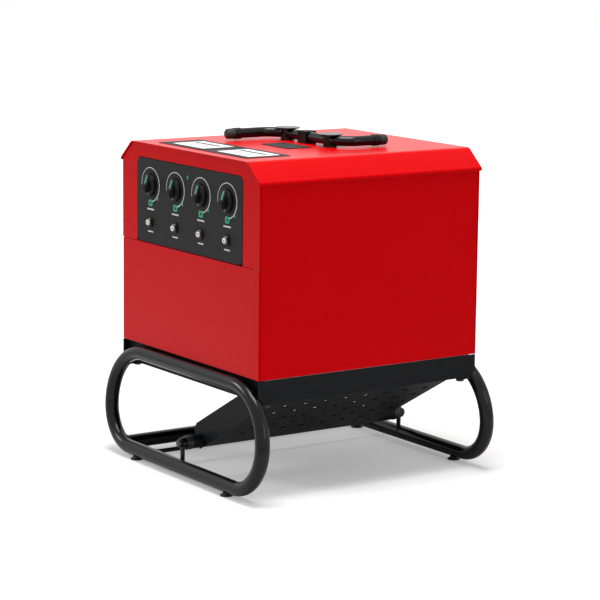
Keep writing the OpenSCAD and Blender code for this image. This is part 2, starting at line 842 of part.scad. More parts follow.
module fan_motor() {
    z = deck_z + ring_h + bracket_t;
    color(steel) translate([0, fan_y, z]) difference() {
        union() {
            cylinder(d = motor_d, h = motor_h - 8);
            translate([0, 0, motor_h - 8]) cylinder(d = motor_d - 16, h = 8);
        }
        translate([0, 0, -eps]) cylinder(r = shaft_d / 2 + fit, h = motor_h - 6);
    }
}

module motor_shaft() {
    z0 = deck_z + 8;
    color(steel) translate([0, fan_y, z0])
        cylinder(d = shaft_d, h = deck_z + ring_h + bracket_t + motor_h - 12 - z0);
}

module fan_impeller() {
    z = deck_z + 6;
    tip = ring_d / 2 - blade_tip;
    color(tray_black) translate([0, fan_y, z]) difference() {
        union() {
            cylinder(d = hub_fan_d, h = hub_fan_h);
            intersection() {
                difference() {
                    cylinder(r = tip, h = hub_fan_h, $fn = 96);
                    translate([0, 0, -eps]) cylinder(d = hub_fan_d - 4, h = hub_fan_h + 2 * eps);
                }
                for (k = [0 : blades - 1]) rotate([0, 0, k * 360 / blades])
                    translate([0, 0, hub_fan_h / 2]) rotate([pitch_a, 0, 0])
                        translate([hub_fan_d / 2 - 6, -blade_w / 2, -blade_t / 2]) cube([tip, blade_w, blade_t]);
            }
        }
        translate([0, 0, -eps]) cylinder(r = shaft_d / 2 + fit / 2, h = hub_fan_h + 2 * eps);
    }
}

module at_elements() {
    for (k = [-1.5 : 1 : 1.5]) translate([0, k * heater_pitch, heater_z]) children();
}

module heater_elements() {
    run = inner_x - sheet - 26;
    color(steel) at_elements() {
        along_x(element_d, -inner_x + sheet + 0.6, inner_x - sheet - 0.6);
        for (i = [0 : fins - 1]) along_x(fin_d, -run + i * 2 * run / (fins - 1) - fin_t / 2,
                                         -run + i * 2 * run / (fins - 1) + fin_t / 2);
    }
}

module heater_rails() {
    x0 = inner_x - sheet;
    color(zinc) both_x() difference() {
        union() {
            span([x0 - sheet, -inner_y + sheet + seat, heater_z - rail_h / 2],
                 [x0, inner_y - sheet - seat, heater_z + rail_h / 2]);
            span([x0 - 14, -inner_y + post_leg + sheet, heater_z - rail_h / 2],
                 [x0 - sheet, inner_y - post_leg - sheet, heater_z - rail_h / 2 + sheet]);
        }
        at_elements() along_x(element_d + 2 * fit, x0 - 3 * sheet, x0 + eps);
    }
}

module cord_glands() {
    color(knob_black) at_glands() difference() {
        union() {
            along_y(gland_d - 8, inner_y - 8, hd);
            along_y(gland_d, hd, hd + 8);
            along_y(gland_d - 6, hd + 8, hd + 18);
            translate([0, inner_y - 6, 0]) rotate([-90, 0, 0]) hex(gland_d - 2, 6);
        }
        along_y(gland_bore, inner_y - 10, hd + 20);
    }
}

base_tray();
outlet_guard();
front_lower_panel();
front_upper_frame();
side_panel_left();
side_panel_right();
rear_panel();
rear_grille();
rear_screws();
top_hood();
corner_posts();
control_panel();
knob_1();
knob_2();
knob_3();
knob_4();
spindle_1();
spindle_2();
spindle_3();
spindle_4();
thermostats();
reset_button_1();
reset_button_2();
reset_button_3();
reset_button_4();
breakers();
button_collars();
front_loop();
rear_loop();
loop_tabs();
frame_bolts();
frame_nuts();
feet();
foot_screws();
cross_tube();
tie_rod();
deflector();
pivot_tube();
pivot_posts();
pivot_bolts();
pivot_washers();
handle_bar();
handle_end_plugs();
handle_collars();
handle_posts();
handle_caps();
handle_sleeve();
handle_screws();
top_labels();
blank_plate();
fan_shroud();
fan_motor();
motor_bracket();
motor_shaft();
fan_impeller();
heater_elements();
heater_rails();
cord_glands();
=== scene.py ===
# Looks of an electric air mover: a red powder-coated cabinet on two bent-tube loops.
# Metres. +Z up, floor at z = 0, the control panel faces -Y. Every piece rides on its CAD body.
import json
import math

import bmesh
import bpy
from mathutils import Matrix, Vector

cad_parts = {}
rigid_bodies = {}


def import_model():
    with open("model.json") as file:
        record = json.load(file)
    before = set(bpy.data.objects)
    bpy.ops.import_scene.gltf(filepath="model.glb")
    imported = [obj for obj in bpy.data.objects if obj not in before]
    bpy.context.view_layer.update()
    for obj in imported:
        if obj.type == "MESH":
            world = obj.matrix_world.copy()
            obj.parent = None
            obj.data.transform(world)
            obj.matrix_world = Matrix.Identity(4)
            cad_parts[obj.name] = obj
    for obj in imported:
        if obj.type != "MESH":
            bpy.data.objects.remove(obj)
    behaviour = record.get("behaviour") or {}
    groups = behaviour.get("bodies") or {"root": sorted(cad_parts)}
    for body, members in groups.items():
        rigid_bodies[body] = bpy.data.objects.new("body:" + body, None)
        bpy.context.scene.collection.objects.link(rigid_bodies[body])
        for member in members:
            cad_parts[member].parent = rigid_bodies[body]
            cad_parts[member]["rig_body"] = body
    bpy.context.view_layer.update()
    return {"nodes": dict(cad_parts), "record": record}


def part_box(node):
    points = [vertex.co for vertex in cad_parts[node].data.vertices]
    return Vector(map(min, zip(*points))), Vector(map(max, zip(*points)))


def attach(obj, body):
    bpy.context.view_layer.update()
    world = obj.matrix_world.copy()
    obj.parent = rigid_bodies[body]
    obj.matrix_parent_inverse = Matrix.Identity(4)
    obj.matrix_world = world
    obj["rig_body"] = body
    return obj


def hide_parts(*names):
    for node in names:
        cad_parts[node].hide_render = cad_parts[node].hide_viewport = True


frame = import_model()
nodes = frame["nodes"]
mm = 0.001
print("frame loaded:", len(nodes), "nodes")


def toLinear(hexColour):
    parts = [int(hexColour[i:i + 2], 16) / 255 for i in (1, 3, 5)]
    return tuple(c / 12.92 if c <= 0.04045 else ((c + 0.055) / 1.055) ** 2.4 for c in parts) + (1.0,)


def addNode(tree, kind, values=None, links=None, **settings):
    node = tree.nodes.new(kind)
    for key, value in settings.items():
        setattr(node, key, value)
    for key, value in (values or {}).items():
        node.inputs[key].default_value = value
    for key, source in (links or {}).items():
        tree.links.new(source, node.inputs[key])
    return node


def slotOf(node):
    return next(part["material_slot"] for part in frame["record"]["subparts"] if part["node"] == node)


# Shows a finished mesh, in place, as the piece that stands for the named CAD nodes
def showPiece(name, mesh, material, stands=(), body=None, slot=None):
    if material:
        mesh.materials.clear()
        mesh.materials.append(material)
    piece = bpy.data.objects.new(name, mesh)
    bpy.context.scene.collection.objects.link(piece)
    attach(piece, body or (nodes[stands[0]]["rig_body"] if stands else "frame"))
    if stands:
        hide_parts(*stands)
    slot or slotOf(stands[0])
    return piece


# Closes a mesh built in millimetres, turns its faces outwards and shades it
def closeMesh(bm, name, sharp=35, scale=mm):
    bmesh.ops.remove_doubles(bm, verts=bm.verts, dist=0.0005 if scale == mm else 1e-7)
    bmesh.ops.recalc_face_normals(bm, faces=bm.faces)
    bm.transform(Matrix.Scale(scale, 4))
    mesh = bpy.data.meshes.new(name)
    bm.to_mesh(mesh)
    bm.free()
    mesh.shade_smooth()
    mesh.set_sharp_from_angle(angle=math.radians(sharp))
    return mesh


turnToFront = Matrix.Rotation(math.radians(90), 4, "X")     # +Z becomes -Y


# Rounds the corners of an open or closed run of points; radii has one value for each point
def roundCorners(points, radii, closed=True, steps=5):
    out, count = [], len(points)
    for i, point in enumerate(points):
        radius = radii[i] if isinstance(radii, (list, tuple)) else radii
        if radius <= 0 or (not closed and i in (0, count - 1)):
            out.append(tuple(point))
            continue
        here = Vector(point)
        back, ahead = Vector(points[i - 1]) - here, Vector(points[(i + 1) % count]) - here
        half = back.angle(ahead) / 2
        reach = min(radius / math.tan(half), back.length * 0.499, ahead.length * 0.499)
        radius = reach * math.tan(half)
        centre = here + (back.normalized() + ahead.normalized()).normalized() * radius / math.sin(half)
        first = here + back.normalized() * reach - centre
        last = here + ahead.normalized() * reach - centre
        sweep = first.angle(last)
        for k in range(steps + 1):
            t = k / steps
            early, late = math.sin((1 - t) * sweep), math.sin(t * sweep)
            out.append(tuple(centre + (first * early + last * late) / math.sin(sweep)))
    return out


# Adds a turned shape about +Z from (radius, height) points, in millimetres
def addTurned(bm, profile, steps=48, matrix=Matrix()):
    rings = []
    for radius, height in profile:
        if radius < 1e-6:
            rings.append([bm.verts.new(matrix @ Vector((0, 0, height)))])
        else:
            rings.append([bm.verts.new(matrix @ Vector((radius * math.cos(2 * math.pi * k / steps),
                                                        radius * math.sin(2 * math.pi * k / steps), height)))
                          for k in range(steps)])
    for low, high in zip(rings, rings[1:]):
        for k in range(steps):
            corners = [low[k % len(low)], low[(k + 1) % len(low)],
                       high[(k + 1) % len(high)], high[k % len(high)]]
            corners = list(dict.fromkeys(corners))
            if len(corners) > 2:
                bm.faces.new(corners)
    return rings


# Adds a prism with a closed outline in (x, y), from height z0 to z1, its rims rounded by edge
def addPrism(bm, outline, z0, z1, edge=0.0, matrix=Matrix(), steps=2):
    centre = Vector((sum(p[0] for p in outline), sum(p[1] for p in outline))) / len(outline)
    levels = [(z0, 0.0), (z1, 0.0)]
    if edge:
        turns = [math.pi / 2 * k / steps for k in range(steps + 1)]
        levels = [(z0 + edge * (1 - math.cos(a)), edge * (1 - math.sin(a))) for a in turns]
        levels += [(z0 + z1 - z, inward) for z, inward in reversed(levels)]
    rings = []
    for z, inward in levels:
        ring = []
        for i, point in enumerate(outline):
            here = Vector(point)
            along = (Vector(outline[(i + 1) % len(outline)]) - Vector(outline[i - 1])).normalized()
            side = Vector((-along.y, along.x))
            if side.dot(centre - here) < 0:
                side = -side
            spot = here + side * inward
            ring.append(bm.verts.new(matrix @ Vector((spot.x, spot.y, z))))
        rings.append(ring)
    for low, high in zip(rings, rings[1:]):
        for k in range(len(outline)):
            n = (k + 1) % len(outline)
            bm.faces.new([low[k], low[n], high[n], high[k]])
    bm.faces.new(rings[0])
    bm.faces.new(rings[-1])


def rectangle(width, height, radius=0.0, steps=5, x=0.0, y=0.0):
    corners = [(x - width / 2, y - height / 2), (x + width / 2, y - height / 2),
               (x + width / 2, y + height / 2), (x - width / 2, y + height / 2)]
    return roundCorners(corners, radius, steps=steps) if radius else corners


def isCorner(line, degrees):
    return len(line.link_faces) == 2 and line.calc_face_angle(0) >= math.radians(degrees)


def pieceName(node, ending):
    return node.title().replace("_", "") + ending


# A copy of a CAD node with its doubles merged, its flat faces joined and its edges rounded
def refineNode(name, node, material, edge=0.5, segments=2, weigh=None, sharp=35):
    bm = bmesh.new()
    bm.from_mesh(nodes[node].data)
    bmesh.ops.remove_doubles(bm, verts=bm.verts, dist=2e-6)
    bmesh.ops.dissolve_degenerate(bm, edges=bm.edges, dist=1e-6)
    bmesh.ops.dissolve_limit(bm, angle_limit=math.radians(0.6), verts=bm.verts, edges=bm.edges)
    mesh = bpy.data.meshes.new(name)
    if weigh:
        layer = bm.edges.layers.float.new("bevel_weight_edge")
        for line in bm.edges:
            line[layer] = weigh(line)
    bm.to_mesh(mesh)
    bm.free()
    mesh.shade_smooth()
    holder = bpy.data.objects.new(name, mesh)
    bpy.context.scene.collection.objects.link(holder)
    bevel = holder.modifiers.new("roundedEdges", "BEVEL")
    bevel.width = edge * mm
    bevel.segments = segments
    bevel.limit_method = "WEIGHT" if weigh else "ANGLE"
    bevel.angle_limit = math.radians(sharp)
    bevel.harden_normals = True
    bevel.miter_outer = "MITER_ARC"
    even = holder.modifiers.new("evenNormals", "WEIGHTED_NORMAL")
    even.keep_sharp, even.weight = True, 100
    finished = bpy.data.meshes.new_from_object(holder.evaluated_get(bpy.context.evaluated_depsgraph_get()))
    bpy.data.objects.remove(holder)
    return showPiece(name, finished, material, stands=[node])


def newTree(name, inputs):
    tree = bpy.data.node_groups.new(name, "GeometryNodeTree")
    tree.interface.new_socket(name="Geometry", in_out="INPUT", socket_type="NodeSocketGeometry")
    for label, kind, value in inputs:
        socket = tree.interface.new_socket(name=label, in_out="INPUT", socket_type=kind)
        if value is not None:
            socket.default_value = value
    tree.interface.new_socket(name="Geometry", in_out="OUTPUT", socket_type="NodeSocketGeometry")
    return tree, addNode(tree, "NodeGroupInput").outputs


# Runs a tree over a mesh and returns the plain mesh that it makes
def runTree(tree, mesh, name, settings):
    holder = bpy.data.objects.new(name, mesh)
    bpy.context.scene.collection.objects.link(holder)
    modifier = holder.modifiers.new(tree.name, "NODES")
    modifier.node_group = tree
    sockets = {item.name: item.identifier for item in tree.interface.items_tree
               if item.item_type == "SOCKET" and item.in_out == "INPUT"}
    for label, value in settings.items():
        modifier[sockets[label]] = value
    made = bpy.data.meshes.new_from_object(holder.evaluated_get(bpy.context.evaluated_depsgraph_get()))
    bpy.data.objects.remove(holder)
    bm = bmesh.new()
    bm.from_mesh(made)
    if bm.calc_volume(signed=True) < 0:
        bmesh.ops.reverse_faces(bm, faces=bm.faces)
        bm.to_mesh(made)
    bm.free()
    return made


# Round bar along every chain of edges
barTree, given = newTree("roundBarAlongPath", [
    ("Radius", "NodeSocketFloat", 0.005), ("Sides", "NodeSocketInt", 32), ("Finish", "NodeSocketMaterial", None)])
pathCurve = addNode(barTree, "GeometryNodeMeshToCurve", links={"Mesh": given["Geometry"]})
ring = addNode(barTree, "GeometryNodeCurvePrimitiveCircle",
               links={"Resolution": given["Sides"], "Radius": given["Radius"]})
bar = addNode(barTree, "GeometryNodeCurveToMesh", {"Fill Caps": True},
              {"Curve": pathCurve.outputs["Curve"], "Profile Curve": ring.outputs["Curve"]})
smooth = addNode(barTree, "GeometryNodeSetShadeSmooth", links={"Geometry": bar.outputs["Mesh"]})
real = addNode(barTree, "GeometryNodeRealizeInstances", links={"Geometry": smooth.outputs["Geometry"]})
coated = addNode(barTree, "GeometryNodeSetMaterial",
                 links={"Geometry": real.outputs["Geometry"], "Material": given["Finish"]})
addNode(barTree, "NodeGroupOutput", links={"Geometry": coated.outputs["Geometry"]})

# One piece at each point, turned and sized by the point's own attributes
repeatTree, given = newTree("pieceAtEachPoint", [
    ("Piece", "NodeSocketObject", None), ("Size", "NodeSocketFloat", 1.0), ("Finish", "NodeSocketMaterial", None)])
piece = addNode(repeatTree, "GeometryNodeObjectInfo", links={"Object": given["Piece"]},
                transform_space="ORIGINAL")
turn = addNode(repeatTree, "GeometryNodeInputNamedAttribute", {"Name": "turn"}, data_type="FLOAT_VECTOR")
spread = addNode(repeatTree, "GeometryNodeInstanceOnPoints",
                 links={"Points": given["Geometry"], "Instance": piece.outputs["Geometry"],
                        "Rotation": turn.outputs["Attribute"], "Scale": given["Size"]})
real = addNode(repeatTree, "GeometryNodeRealizeInstances", links={"Geometry": spread.outputs["Instances"]})
coated = addNode(repeatTree, "GeometryNodeSetMaterial",
                 links={"Geometry": real.outputs["Geometry"], "Material": given["Finish"]})
addNode(repeatTree, "NodeGroupOutput", links={"Geometry": coated.outputs["Geometry"]})


# Round bar along points in millimetres; chains is a list of point lists
def barAlong(name, chains, radius, material, closed=False, sides=32):
    mesh = bpy.data.meshes.new(name)
    points, edges = [], []
    for chain in chains:
        first = len(points)
        points += [Vector(p) * mm for p in chain]
        edges += [(first + i, first + i + 1) for i in range(len(chain) - 1)]
        if closed:
            edges.append((len(points) - 1, first))
    mesh.from_pydata(points, edges, [])
    made = runTree(barTree, mesh, name, {"Radius": radius * mm, "Sides": sides, "Finish": material})
    made.set_sharp_from_angle(angle=math.radians(50))
    return made


# Copies of a small mesh at places in millimetres, each place (x, y, z, turn about X, Y, Z)
def repeatAt(name, template, places, material, size=1.0):
    holder = bpy.data.objects.new(name + "Template", template)
    bpy.context.scene.collection.objects.link(holder)
    mesh = bpy.data.meshes.new(name)
    mesh.from_pydata([Vector(p[:3]) * mm for p in places], [], [])
    turns = mesh.attributes.new("turn", "FLOAT_VECTOR", "POINT")
    for i, spot in enumerate(places):
        turns.data[i].vector = spot[3:6] if len(spot) > 3 else (0, 0, 0)
    made = runTree(repeatTree, mesh, name, {"Piece": holder, "Size": size, "Finish": material})
    bpy.data.objects.remove(holder)
    return made


# Shows copies of a small mesh as one piece
def showCopies(name, template, places, material, **known):
    return showPiece(name, repeatAt(name + "Copies", template, places, material), None, **known)


def joinMeshes(name, meshes):
    bm = bmesh.new()
    for mesh in meshes:
        bm.from_mesh(mesh)
    out = bpy.data.meshes.new(name)
    bm.to_mesh(out)
    bm.free()
    out.shade_smooth()
    out.set_sharp_from_angle(angle=math.radians(40))
    return out


# Builds one opaque surface: two tones that drift over toneMm, roughness that drifts over roughMm, and a grain
def makeSurface(name, look):
    material = bpy.data.materials.new(name)
    material.use_nodes = True
    tree = material.node_tree
    tree.nodes.clear()
    where = addNode(tree, "ShaderNodeTexCoord").outputs["Object"]
    if "stretch" in look:
        mapping = addNode(tree, "ShaderNodeMapping", {"Scale": look["stretch"]}, {"Vector": where})
        where = mapping.outputs["Vector"]
    tone = addNode(tree, "ShaderNodeTexNoise", {"Scale": 1 / (look["toneMm"] * mm), "Detail": 3.0},
                   {"Vector": where})
    toneShare = addNode(tree, "ShaderNodeMapRange", {"From Min": 0.2, "From Max": 0.8},
                        {"Value": tone.outputs["Fac"]})
    colour = addNode(tree, "ShaderNodeMix", {6: toLinear(look["colour"]), 7: toLinear(look["secondColour"])},
                     {0: toneShare.outputs["Result"]}, data_type="RGBA")
    wear = addNode(tree, "ShaderNodeTexNoise", {"Scale": 1 / (look["roughMm"] * mm), "Detail": 2.0},
                   {"Vector": where})
    low, high = look["rough"]
    rough = addNode(tree, "ShaderNodeMapRange", {"From Min": 0.2, "From Max": 0.8, "To Min": low, "To Max": high},
                    {"Value": wear.outputs["Fac"]})
    grain = addNode(tree, look.get("grainNode", "ShaderNodeTexNoise"), {"Scale": 1 / (look["grainMm"] * mm)},
                    {"Vector": where})
    bump = addNode(tree, "ShaderNodeBump",
                   {"Strength": look.get("grainStrength", 0.5), "Distance": look["grainDepthMm"] * mm},
                   {"Height": grain.outputs[0]})
    shader = addNode(tree, "ShaderNodeBsdfPrincipled", {
        "Metallic": look.get("metallic", 0.0), "IOR": look.get("ior", 1.5),
        "Specular IOR Level": look.get("specular", 0.5),
        "Specular Tint": toLinear(look.get("tint", "#FFFFFF"))},
        {"Base Color": colour.outputs[2], "Roughness": rough.outputs["Result"],
         "Normal": bump.outputs["Normal"]})
    addNode(tree, "ShaderNodeOutputMaterial", links={"Surface": shader.outputs["BSDF"]})
    return material


# Polyester powder coat sprayed and baked on sheet steel: deep even red, glossy, with a faint orange peel of
# 2.5 mm; the tint keeps reflections red where the sheet is seen face on
redPowderCoat = makeSurface("redPowderCoat", {
    "colour": "#C80309", "secondColour": "#C40208", "toneMm": 140, "roughMm": 60, "rough": (0.27, 0.3),
    "grainMm": 2.5, "grainDepthMm": 0.006, "grainStrength": 0.03, "ior": 1.5, "specular": 0.14,
    "tint": "#FF3232"})
# Textured polyester powder coat: dark, satin, with a grit of about 0.8 mm
blackPowderCoat = makeSurface("blackTexturedPowderCoat", {
    "colour": "#131415", "secondColour": "#17181A", "toneMm": 60, "roughMm": 25, "rough": (0.44, 0.54),
    "grainMm": 0.9, "grainDepthMm": 0.02, "grainStrength": 0.2, "ior": 1.5, "specular": 0.09})
# Stoved enamel on drawn tube: near black, semi-gloss, long soft highlights
blackTubeEnamel = makeSurface("blackStovedEnamel", {
    "colour": "#070708", "secondColour": "#0A0A0B", "toneMm": 45, "roughMm": 30, "rough": (0.17, 0.22),
    "grainMm": 2.0, "grainDepthMm": 0.006, "grainStrength": 0.05, "ior": 1.5, "specular": 0.26})
# Moulded ABS with a fine spark-eroded satin
blackAbs = makeSurface("blackMouldedAbs", {
    "colour": "#060607", "secondColour": "#090909", "toneMm": 18, "roughMm": 9, "rough": (0.34, 0.44),
    "grainMm": 0.6, "grainDepthMm": 0.01, "grainStrength": 0.2, "ior": 1.53, "specular": 0.14})
# Moulded nylon, polished in the tool: milky white with a soft gloss
whiteNylon = makeSurface("whiteMouldedNylon", {
    "colour": "#E9E8E4", "secondColour": "#DFDED8", "toneMm": 6, "roughMm": 4, "rough": (0.22, 0.3),
    "grainMm": 0.6, "grainDepthMm": 0.006, "ior": 1.53})
# Nickel-plated brass thread of a breaker neck
nickelPlate = makeSurface("nickelPlatedBrass", {
    "colour": "#5A5855", "secondColour": "#4E4C49", "toneMm": 4, "roughMm": 3, "rough": (0.2, 0.32),
    "grainMm": 0.5, "grainDepthMm": 0.006, "metallic": 1.0})
# Blackened steel bolts and washers: oiled, near black, a soft metal sheen on the edges
blackOxide = makeSurface("blackOxideSteel", {
    "colour": "#1B1B1D", "secondColour": "#242426", "toneMm": 5, "roughMm": 3, "rough": (0.32, 0.44),
    "grainMm": 0.6, "grainDepthMm": 0.01, "grainStrength": 0.2, "ior": 1.5, "specular": 0.5})
# Vulcanised rubber: deep black, dull, with a faint bloom
blackRubber = makeSurface("blackVulcanisedRubber", {
    "colour": "#0E0E0E", "secondColour": "#151514", "toneMm": 9, "roughMm": 6, "rough": (0.58, 0.74),
    "grainMm": 0.6, "grainDepthMm": 0.02, "ior": 1.52})
# Aluminium panel plate under a matte charcoal screen-printed film
charcoalPlate = makeSurface("charcoalPrintedPlate", {
    "colour": "#222223", "secondColour": "#262627", "toneMm": 70, "roughMm": 30, "rough": (0.5, 0.56),
    "grainMm": 0.8, "grainDepthMm": 0.006, "grainStrength": 0.15, "specular": 0.12, "ior": 1.5})
# Screen ink, printed matte on the plate
whiteInk = makeSurface("whiteScreenInk", {
    "colour": "#D8D8D6", "secondColour": "#CFCFCD", "toneMm": 12, "roughMm": 8, "rough": (0.5, 0.6),
    "grainMm": 0.6, "grainDepthMm": 0.004, "ior": 1.48})
# Grey screen ink; the same grey also serves as painted shade in the buttons' dimples
greyInkAndDimpleShade = makeSurface("greyScreenInkAndDimpleShade", {
    "colour": "#8E8E8C", "secondColour": "#858583", "toneMm": 12, "roughMm": 8, "rough": (0.5, 0.6),
    "grainMm": 0.6, "grainDepthMm": 0.004, "ior": 1.48})
greenInk = makeSurface("greenScreenInk", {
    "colour": "#12A57A", "secondColour": "#0E9A70", "toneMm": 12, "roughMm": 8, "rough": (0.45, 0.55),
    "grainMm": 0.6, "grainDepthMm": 0.004, "ior": 1.48})
# Near-black screen ink; the same colour also serves as painted shade in the rear screws' cross recesses
darkInkAndRecessShade = makeSurface("blackScreenInkAndRecessShade", {
    "colour": "#0C0C0D", "secondColour": "#101011", "toneMm": 12, "roughMm": 8, "rough": (0.45, 0.55),
    "grainMm": 0.6, "grainDepthMm": 0.004, "ior": 1.48})
# Polyester label film with a satin over-laminate
labelFilm = makeSurface("satinLabelFilm", {
    "colour": "#D9DADB", "secondColour": "#D2D3D5", "toneMm": 30, "roughMm": 14, "rough": (0.3, 0.4),
    "grainMm": 1.2, "grainDepthMm": 0.005, "ior": 1.5})
# Injection-moulded glass-filled nylon: dark grey, slightly cloudy
filledNylon = makeSurface("glassFilledNylon", {
    "colour": "#1D1D1E", "secondColour": "#262628", "toneMm": 14, "roughMm": 8, "rough": (0.42, 0.58),
    "grainMm": 0.9, "grainDepthMm": 0.02, "ior": 1.53})
# Drawn stainless tube and wire, with fine lengthwise lines
stainlessSteel = makeSurface("drawnStainlessSteel", {
    "colour": "#A9ABAD", "secondColour": "#9A9B9E", "toneMm": 8, "roughMm": 5, "rough": (0.24, 0.38),
    "stretch": (0.12, 1.0, 1.0), "grainMm": 0.5, "grainDepthMm": 0.008, "metallic": 1.0})
# Bright zinc plating on screws, nuts and washers: slightly blue, a little cloudy
zincPlate = makeSurface("brightZincPlate", {
    "colour": "#A7ACB2", "secondColour": "#979DA5", "toneMm": 3, "roughMm": 2, "rough": (0.22, 0.36),
    "grainMm": 0.5, "grainDepthMm": 0.01, "metallic": 1.0})
# Hot-dip galvanised sheet, with the broad crystals of the zinc
galvanised = makeSurface("galvanisedSheet", {
    "colour": "#9CA1A6", "secondColour": "#84898F", "toneMm": 14, "roughMm": 9, "rough": (0.3, 0.5),
    "grainNode": "ShaderNodeTexVoronoi", "grainMm": 9, "grainDepthMm": 0.03, "metallic": 1.0})
print("materials made")


cabinet = {
    "halfWidth": 226.0, "halfDepth": 231.5, "sideTop": 545.0, "roofTop": 578.0, "panelFace": -232.1,
    "controlX": [-126.75, -42.25, 42.25, 126.75], "knobZ": 505.1, "buttonZ": 437.6}

# The CAD nodes whose shape is already right keep their mesh and get their finish
plainNodes = {
    "spindle_1": zincPlate, "spindle_2": zincPlate, "spindle_3": zincPlate, "spindle_4": zincPlate,
    "thermostats": blackAbs, "motor_shaft": stainlessSteel, "handle_screws": zincPlate,
    "foot_screws": zincPlate}
for node, material in plainNodes.items():
    slots = nodes[node].data.materials
    slots.clear()
    slots.append(material)


sheetMetal = {"rolledEdge": 1.6, "innerShare": 0.2, "trayShare": 0.8, "near": 0.05, "sheet": 2.0}


# Bevel weight of an edge: the full share in the cabinet's outer faces across the given axes (0 is X, 1 is Y),
# a small one elsewhere
def outerEdges(axes, share=1.0):
    reach = (cabinet["halfWidth"] * mm, cabinet["halfDepth"] * mm)

    def weigh(line):
        if not isCorner(line, 30):
            return 0.0
        outside = all(max(abs(vert.co[axis]) - reach[axis] for axis in axes) > -sheetMetal["near"] * mm
                      for vert in line.verts)
        return share if outside else sheetMetal["innerShare"]
    return weigh


for node, axis in [("side_panel_left", 0), ("side_panel_right", 0), ("front_lower_panel", 1),
                   ("front_upper_frame", 1), ("rear_panel", 1)]:
    refineNode(pieceName(node, "Rolled"), node, redPowderCoat, sheetMetal["rolledEdge"], 3, outerEdges([axis]))
refineNode("BaseTrayFolded", "base_tray", blackPowderCoat, sheetMetal["rolledEdge"], 3,
           outerEdges([0, 1], sheetMetal["trayShare"]))
for node, material, edge in [
        ("rear_grille", blackPowderCoat, 0.5), ("corner_posts", galvanised, 0.3),
        ("control_panel", charcoalPlate, 0.35), ("loop_tabs", blackTubeEnamel, 0.5),
        ("outlet_guard", galvanised, 0.4), ("fan_shroud", galvanised, 0.3),
        ("motor_bracket", galvanised, 0.5), ("heater_rails", galvanised, 0.3),
        ("cord_glands", blackAbs, 0.6), ("handle_posts", blackTubeEnamel, 0.6),
        ("handle_sleeve", blackAbs, 1.6), ("handle_caps", blackTubeEnamel, 0.8),
        ("pivot_posts", blackTubeEnamel, 0.5),
        ("pivot_tube", blackPowderCoat, 0.5), ("fan_motor", blackTubeEnamel, 1.5)]:
    refineNode(pieceName(node, "Finished"), node, material, edge)

# Galvanised folded lip behind the seam between side panels and tray: it closes the gap, and its bright zinc seen
# through the seam is a painted highlight, the one light line along the seam
lip = {"thick": 1.0, "tall": 9.0, "endGap": 22.0, "round": 0.3, "behind": 0.1}
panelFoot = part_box("side_panel_right")[0].z / mm
highlightLipMesh = bmesh.new()
highlightLipOutline = rectangle(lip["thick"], 2 * (cabinet["halfDepth"] - lip["endGap"]), lip["round"], 2)
addPrism(highlightLipMesh, highlightLipOutline, -lip["tall"] / 2, lip["tall"] / 2)
highlightLipMesh = closeMesh(highlightLipMesh, "seamHighlightLip")
highlightLipX = cabinet["halfWidth"] - sheetMetal["sheet"] - lip["thick"] / 2 - lip["behind"]
showCopies("SeamLips", highlightLipMesh, [(x, 0, panelFoot, 0, 0, 0) for x in (-highlightLipX, highlightLipX)], galvanised,
           body=nodes["corner_posts"]["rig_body"], slot="zinc_steel")
print("sheet metal done")


hood = {"halfWidth": 229.0, "overhang": 3.0, "lip": 5.0, "slope": 38.0, "topBend": 14.0, "lipBend": 6.0,
        "sheet": 2.0, "edge": 0.6}


def hoodProfile(inset):
    c, h = cabinet, hood
    topX, angle = h["halfWidth"] - h["slope"], math.atan2(c["roofTop"] - c["sideTop"], h["slope"])
    bends = [(topX - h["topBend"] * math.tan(angle / 2), c["roofTop"] - h["topBend"], h["topBend"] - inset,
              math.pi / 2, math.pi / 2 - angle, 14),
             (h["halfWidth"] - h["lipBend"],
              c["sideTop"] - h["lipBend"] * math.tan((math.pi / 2 - angle) / 2),
              h["lipBend"] - inset, math.pi / 2 - angle, 0.0, 10)]
    right = [(x + r * math.cos(a0 + (a1 - a0) * k / n), z + r * math.sin(a0 + (a1 - a0) * k / n))
             for x, z, r, a0, a1, n in bends for k in range(n + 1)]
    right.append((h["halfWidth"] - inset, c["sideTop"] - h["lip"]))
    return [(-x, z) for x, z in reversed(right)] + right


outer, inner = hoodProfile(0.0), hoodProfile(hood["sheet"])
reach = cabinet["halfDepth"] + hood["overhang"]
bm = bmesh.new()
rows = []
for y in (-reach, reach):
    rows.append([[bm.verts.new((x, y, z)) for x, z in side] for side in (outer, inner)])
for k in range(len(outer) - 1):
    for side in (0, 1):
        bm.faces.new([rows[0][side][k], rows[0][side][k + 1], rows[1][side][k + 1], rows[1][side][k]])
    for end in (0, 1):
        bm.faces.new([rows[end][0][k], rows[end][0][k + 1], rows[end][1][k + 1], rows[end][1][k]])
for k in (0, -1):
    bm.faces.new([rows[0][0][k], rows[0][1][k], rows[1][1][k], rows[1][0][k]])
bmesh.ops.recalc_face_normals(bm, faces=bm.faces)
bm.transform(Matrix.Scale(mm, 4))
hoodMesh = bpy.data.meshes.new("hoodSheet")
bm.to_mesh(hoodMesh)
bm.free()
hoodMesh.shade_smooth()
holder = bpy.data.objects.new("hoodSheet", hoodMesh)
bpy.context.scene.collection.objects.link(holder)
bevel = holder.modifiers.new("rolledEdges", "BEVEL")
bevel.width, bevel.segments, bevel.harden_normals = hood["edge"] * mm, 3, True
bevel.limit_method, bevel.angle_limit = "ANGLE", math.radians(40)
finished = bpy.data.meshes.new_from_object(holder.evaluated_get(bpy.context.evaluated_depsgraph_get()))
bpy.data.objects.remove(holder)
showPiece("HoodSheet", finished, redPowderCoat, stands=["top_hood"])
print("hood done")


